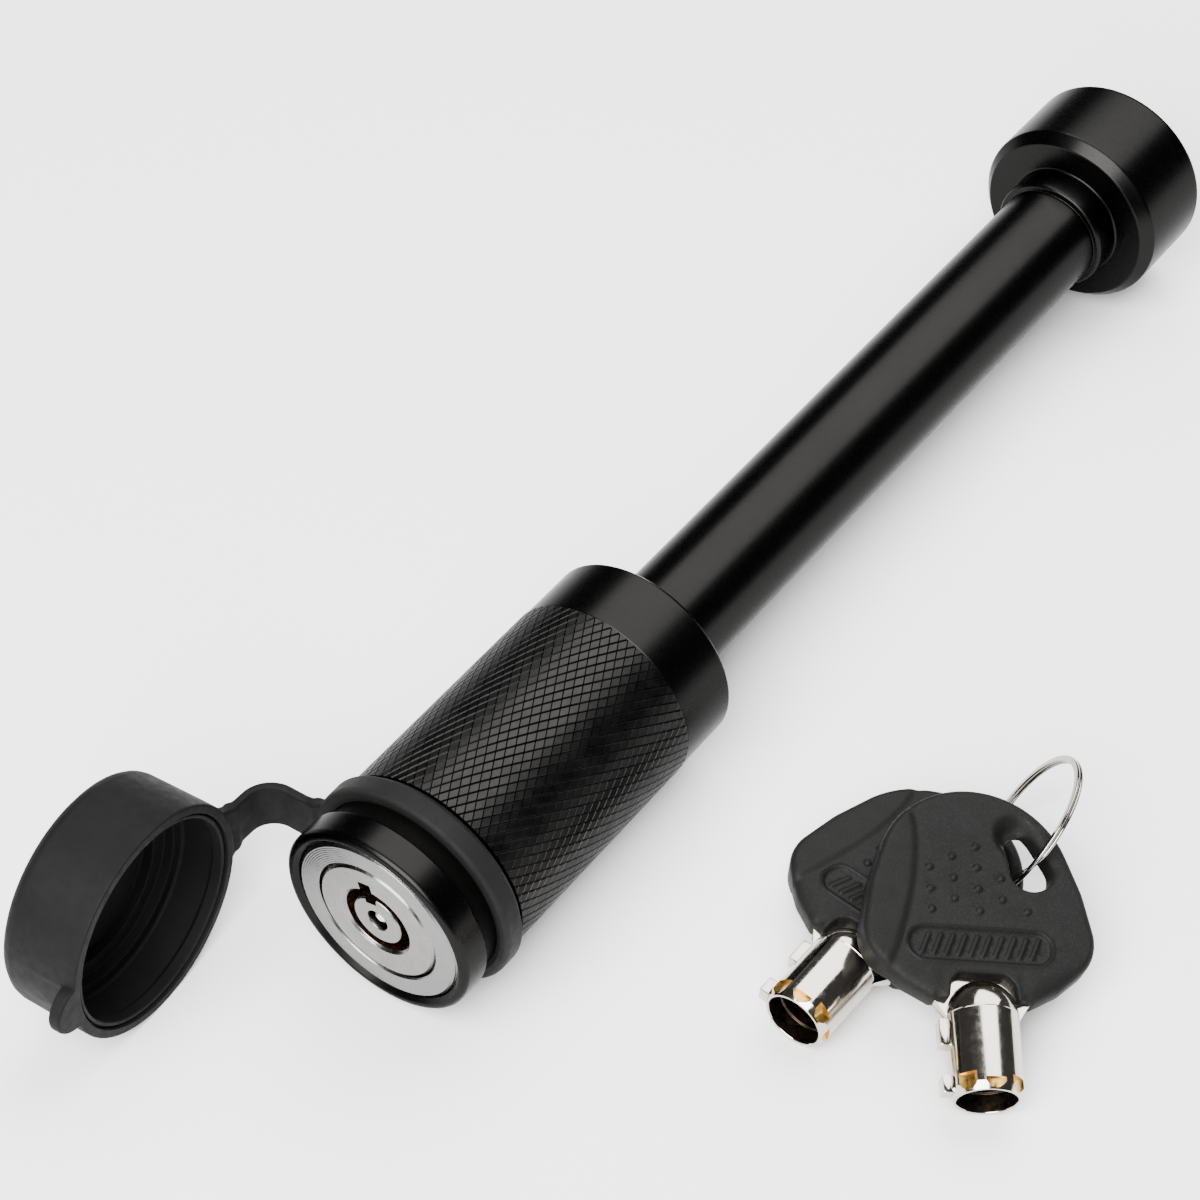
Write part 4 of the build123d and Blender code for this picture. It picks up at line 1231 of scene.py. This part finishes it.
# -------------------- build
make_pin()
make_sleeve()
make_knurl()
make_bezel()
make_cylinder()
make_springs()
make_strap_ring()
make_cap()
make_strap()
for key, values in KEY_PLACES.items():
    make_bow(key, key_place(*values))
    make_key_tube(key, key_place(*values))
    make_blade(key, key_place(*values))
make_key_ring()
finish_inner_parts()

# -------------------- floor, lights and camera
CAMERA_TARGET = Vector((101.9, -10.1, 0))
CAMERA_AZIMUTH = radians(126.36)
CAMERA_ELEVATION = radians(47.05)
CAMERA_DISTANCE = 451.7
LENS = 98.8


def direction(azimuth, elevation):
    """Unit vector towards a viewer; azimuth 0 looks along +Y."""
    return Vector((sin(azimuth) * cos(elevation), -cos(azimuth) * cos(elevation), sin(elevation)))


def make_floor():
    """Pale paper sweep with a slight tone variation."""
    bm = bmesh.new()
    bmesh.ops.create_grid(bm, x_segments=1, y_segments=1, size=6000)
    bmesh.ops.translate(bm, vec=(0, 0, FLOOR), verts=bm.verts)
    s = Surface("paper")
    s.set(Specular_IOR_Level=0.2, Roughness=0.85)
    s.colour(s.vary(s.noise(6, 2), (0.92, 0.92, 0.92), (0.94, 0.94, 0.94)))
    floor = finish_mesh(bm, "floor", [s.material])


def aim(holder, back, distance):
    """Adds an object to the scene, facing the camera's target from a distance in millimetres."""
    bpy.context.scene.collection.objects.link(holder)
    holder.rotation_mode = "QUATERNION"
    holder.location = (CAMERA_TARGET + back * distance) * MM
    holder.rotation_quaternion = (-back).to_track_quat("-Z", "Y")


def make_light(name, towards, distance, size, power):
    """Softbox facing the camera's target. Distances are in millimetres, power in watts."""
    lamp = bpy.data.lights.new(name, "AREA")
    lamp.shape = "RECTANGLE"
    lamp.size, lamp.size_y = size[0] * MM, size[1] * MM
    lamp.energy = power
    aim(bpy.data.objects.new(name, lamp), Vector(towards).normalized(), distance)


def make_world(level):
    """Dim, even surroundings."""
    world = bpy.data.worlds.new("surroundings")
    world.use_nodes = True
    backdrop = world.node_tree.nodes["Background"]
    backdrop.inputs["Color"].default_value = (1, 1, 1, 1)
    backdrop.inputs["Strength"].default_value = level
    bpy.context.scene.world = world


def make_camera():
    """Camera above the lock's face end, looking down along the pin."""
    lens = bpy.data.cameras.new("camera")
    lens.lens = LENS
    lens.sensor_width = 36
    lens.clip_start, lens.clip_end = 0.01, 20
    holder = bpy.data.objects.new("camera", lens)
    aim(holder, direction(CAMERA_AZIMUTH, CAMERA_ELEVATION), CAMERA_DISTANCE)
    bpy.context.scene.camera = holder


make_floor()
make_world(level=0.07)
make_light("overhead", towards=(-0.5, -0.06, 0.86), distance=900, size=(1000, 900), power=19)
make_light("front_fill", towards=(0.66, 0.12, 0.74), distance=1000, size=(900, 900), power=46)
make_camera()
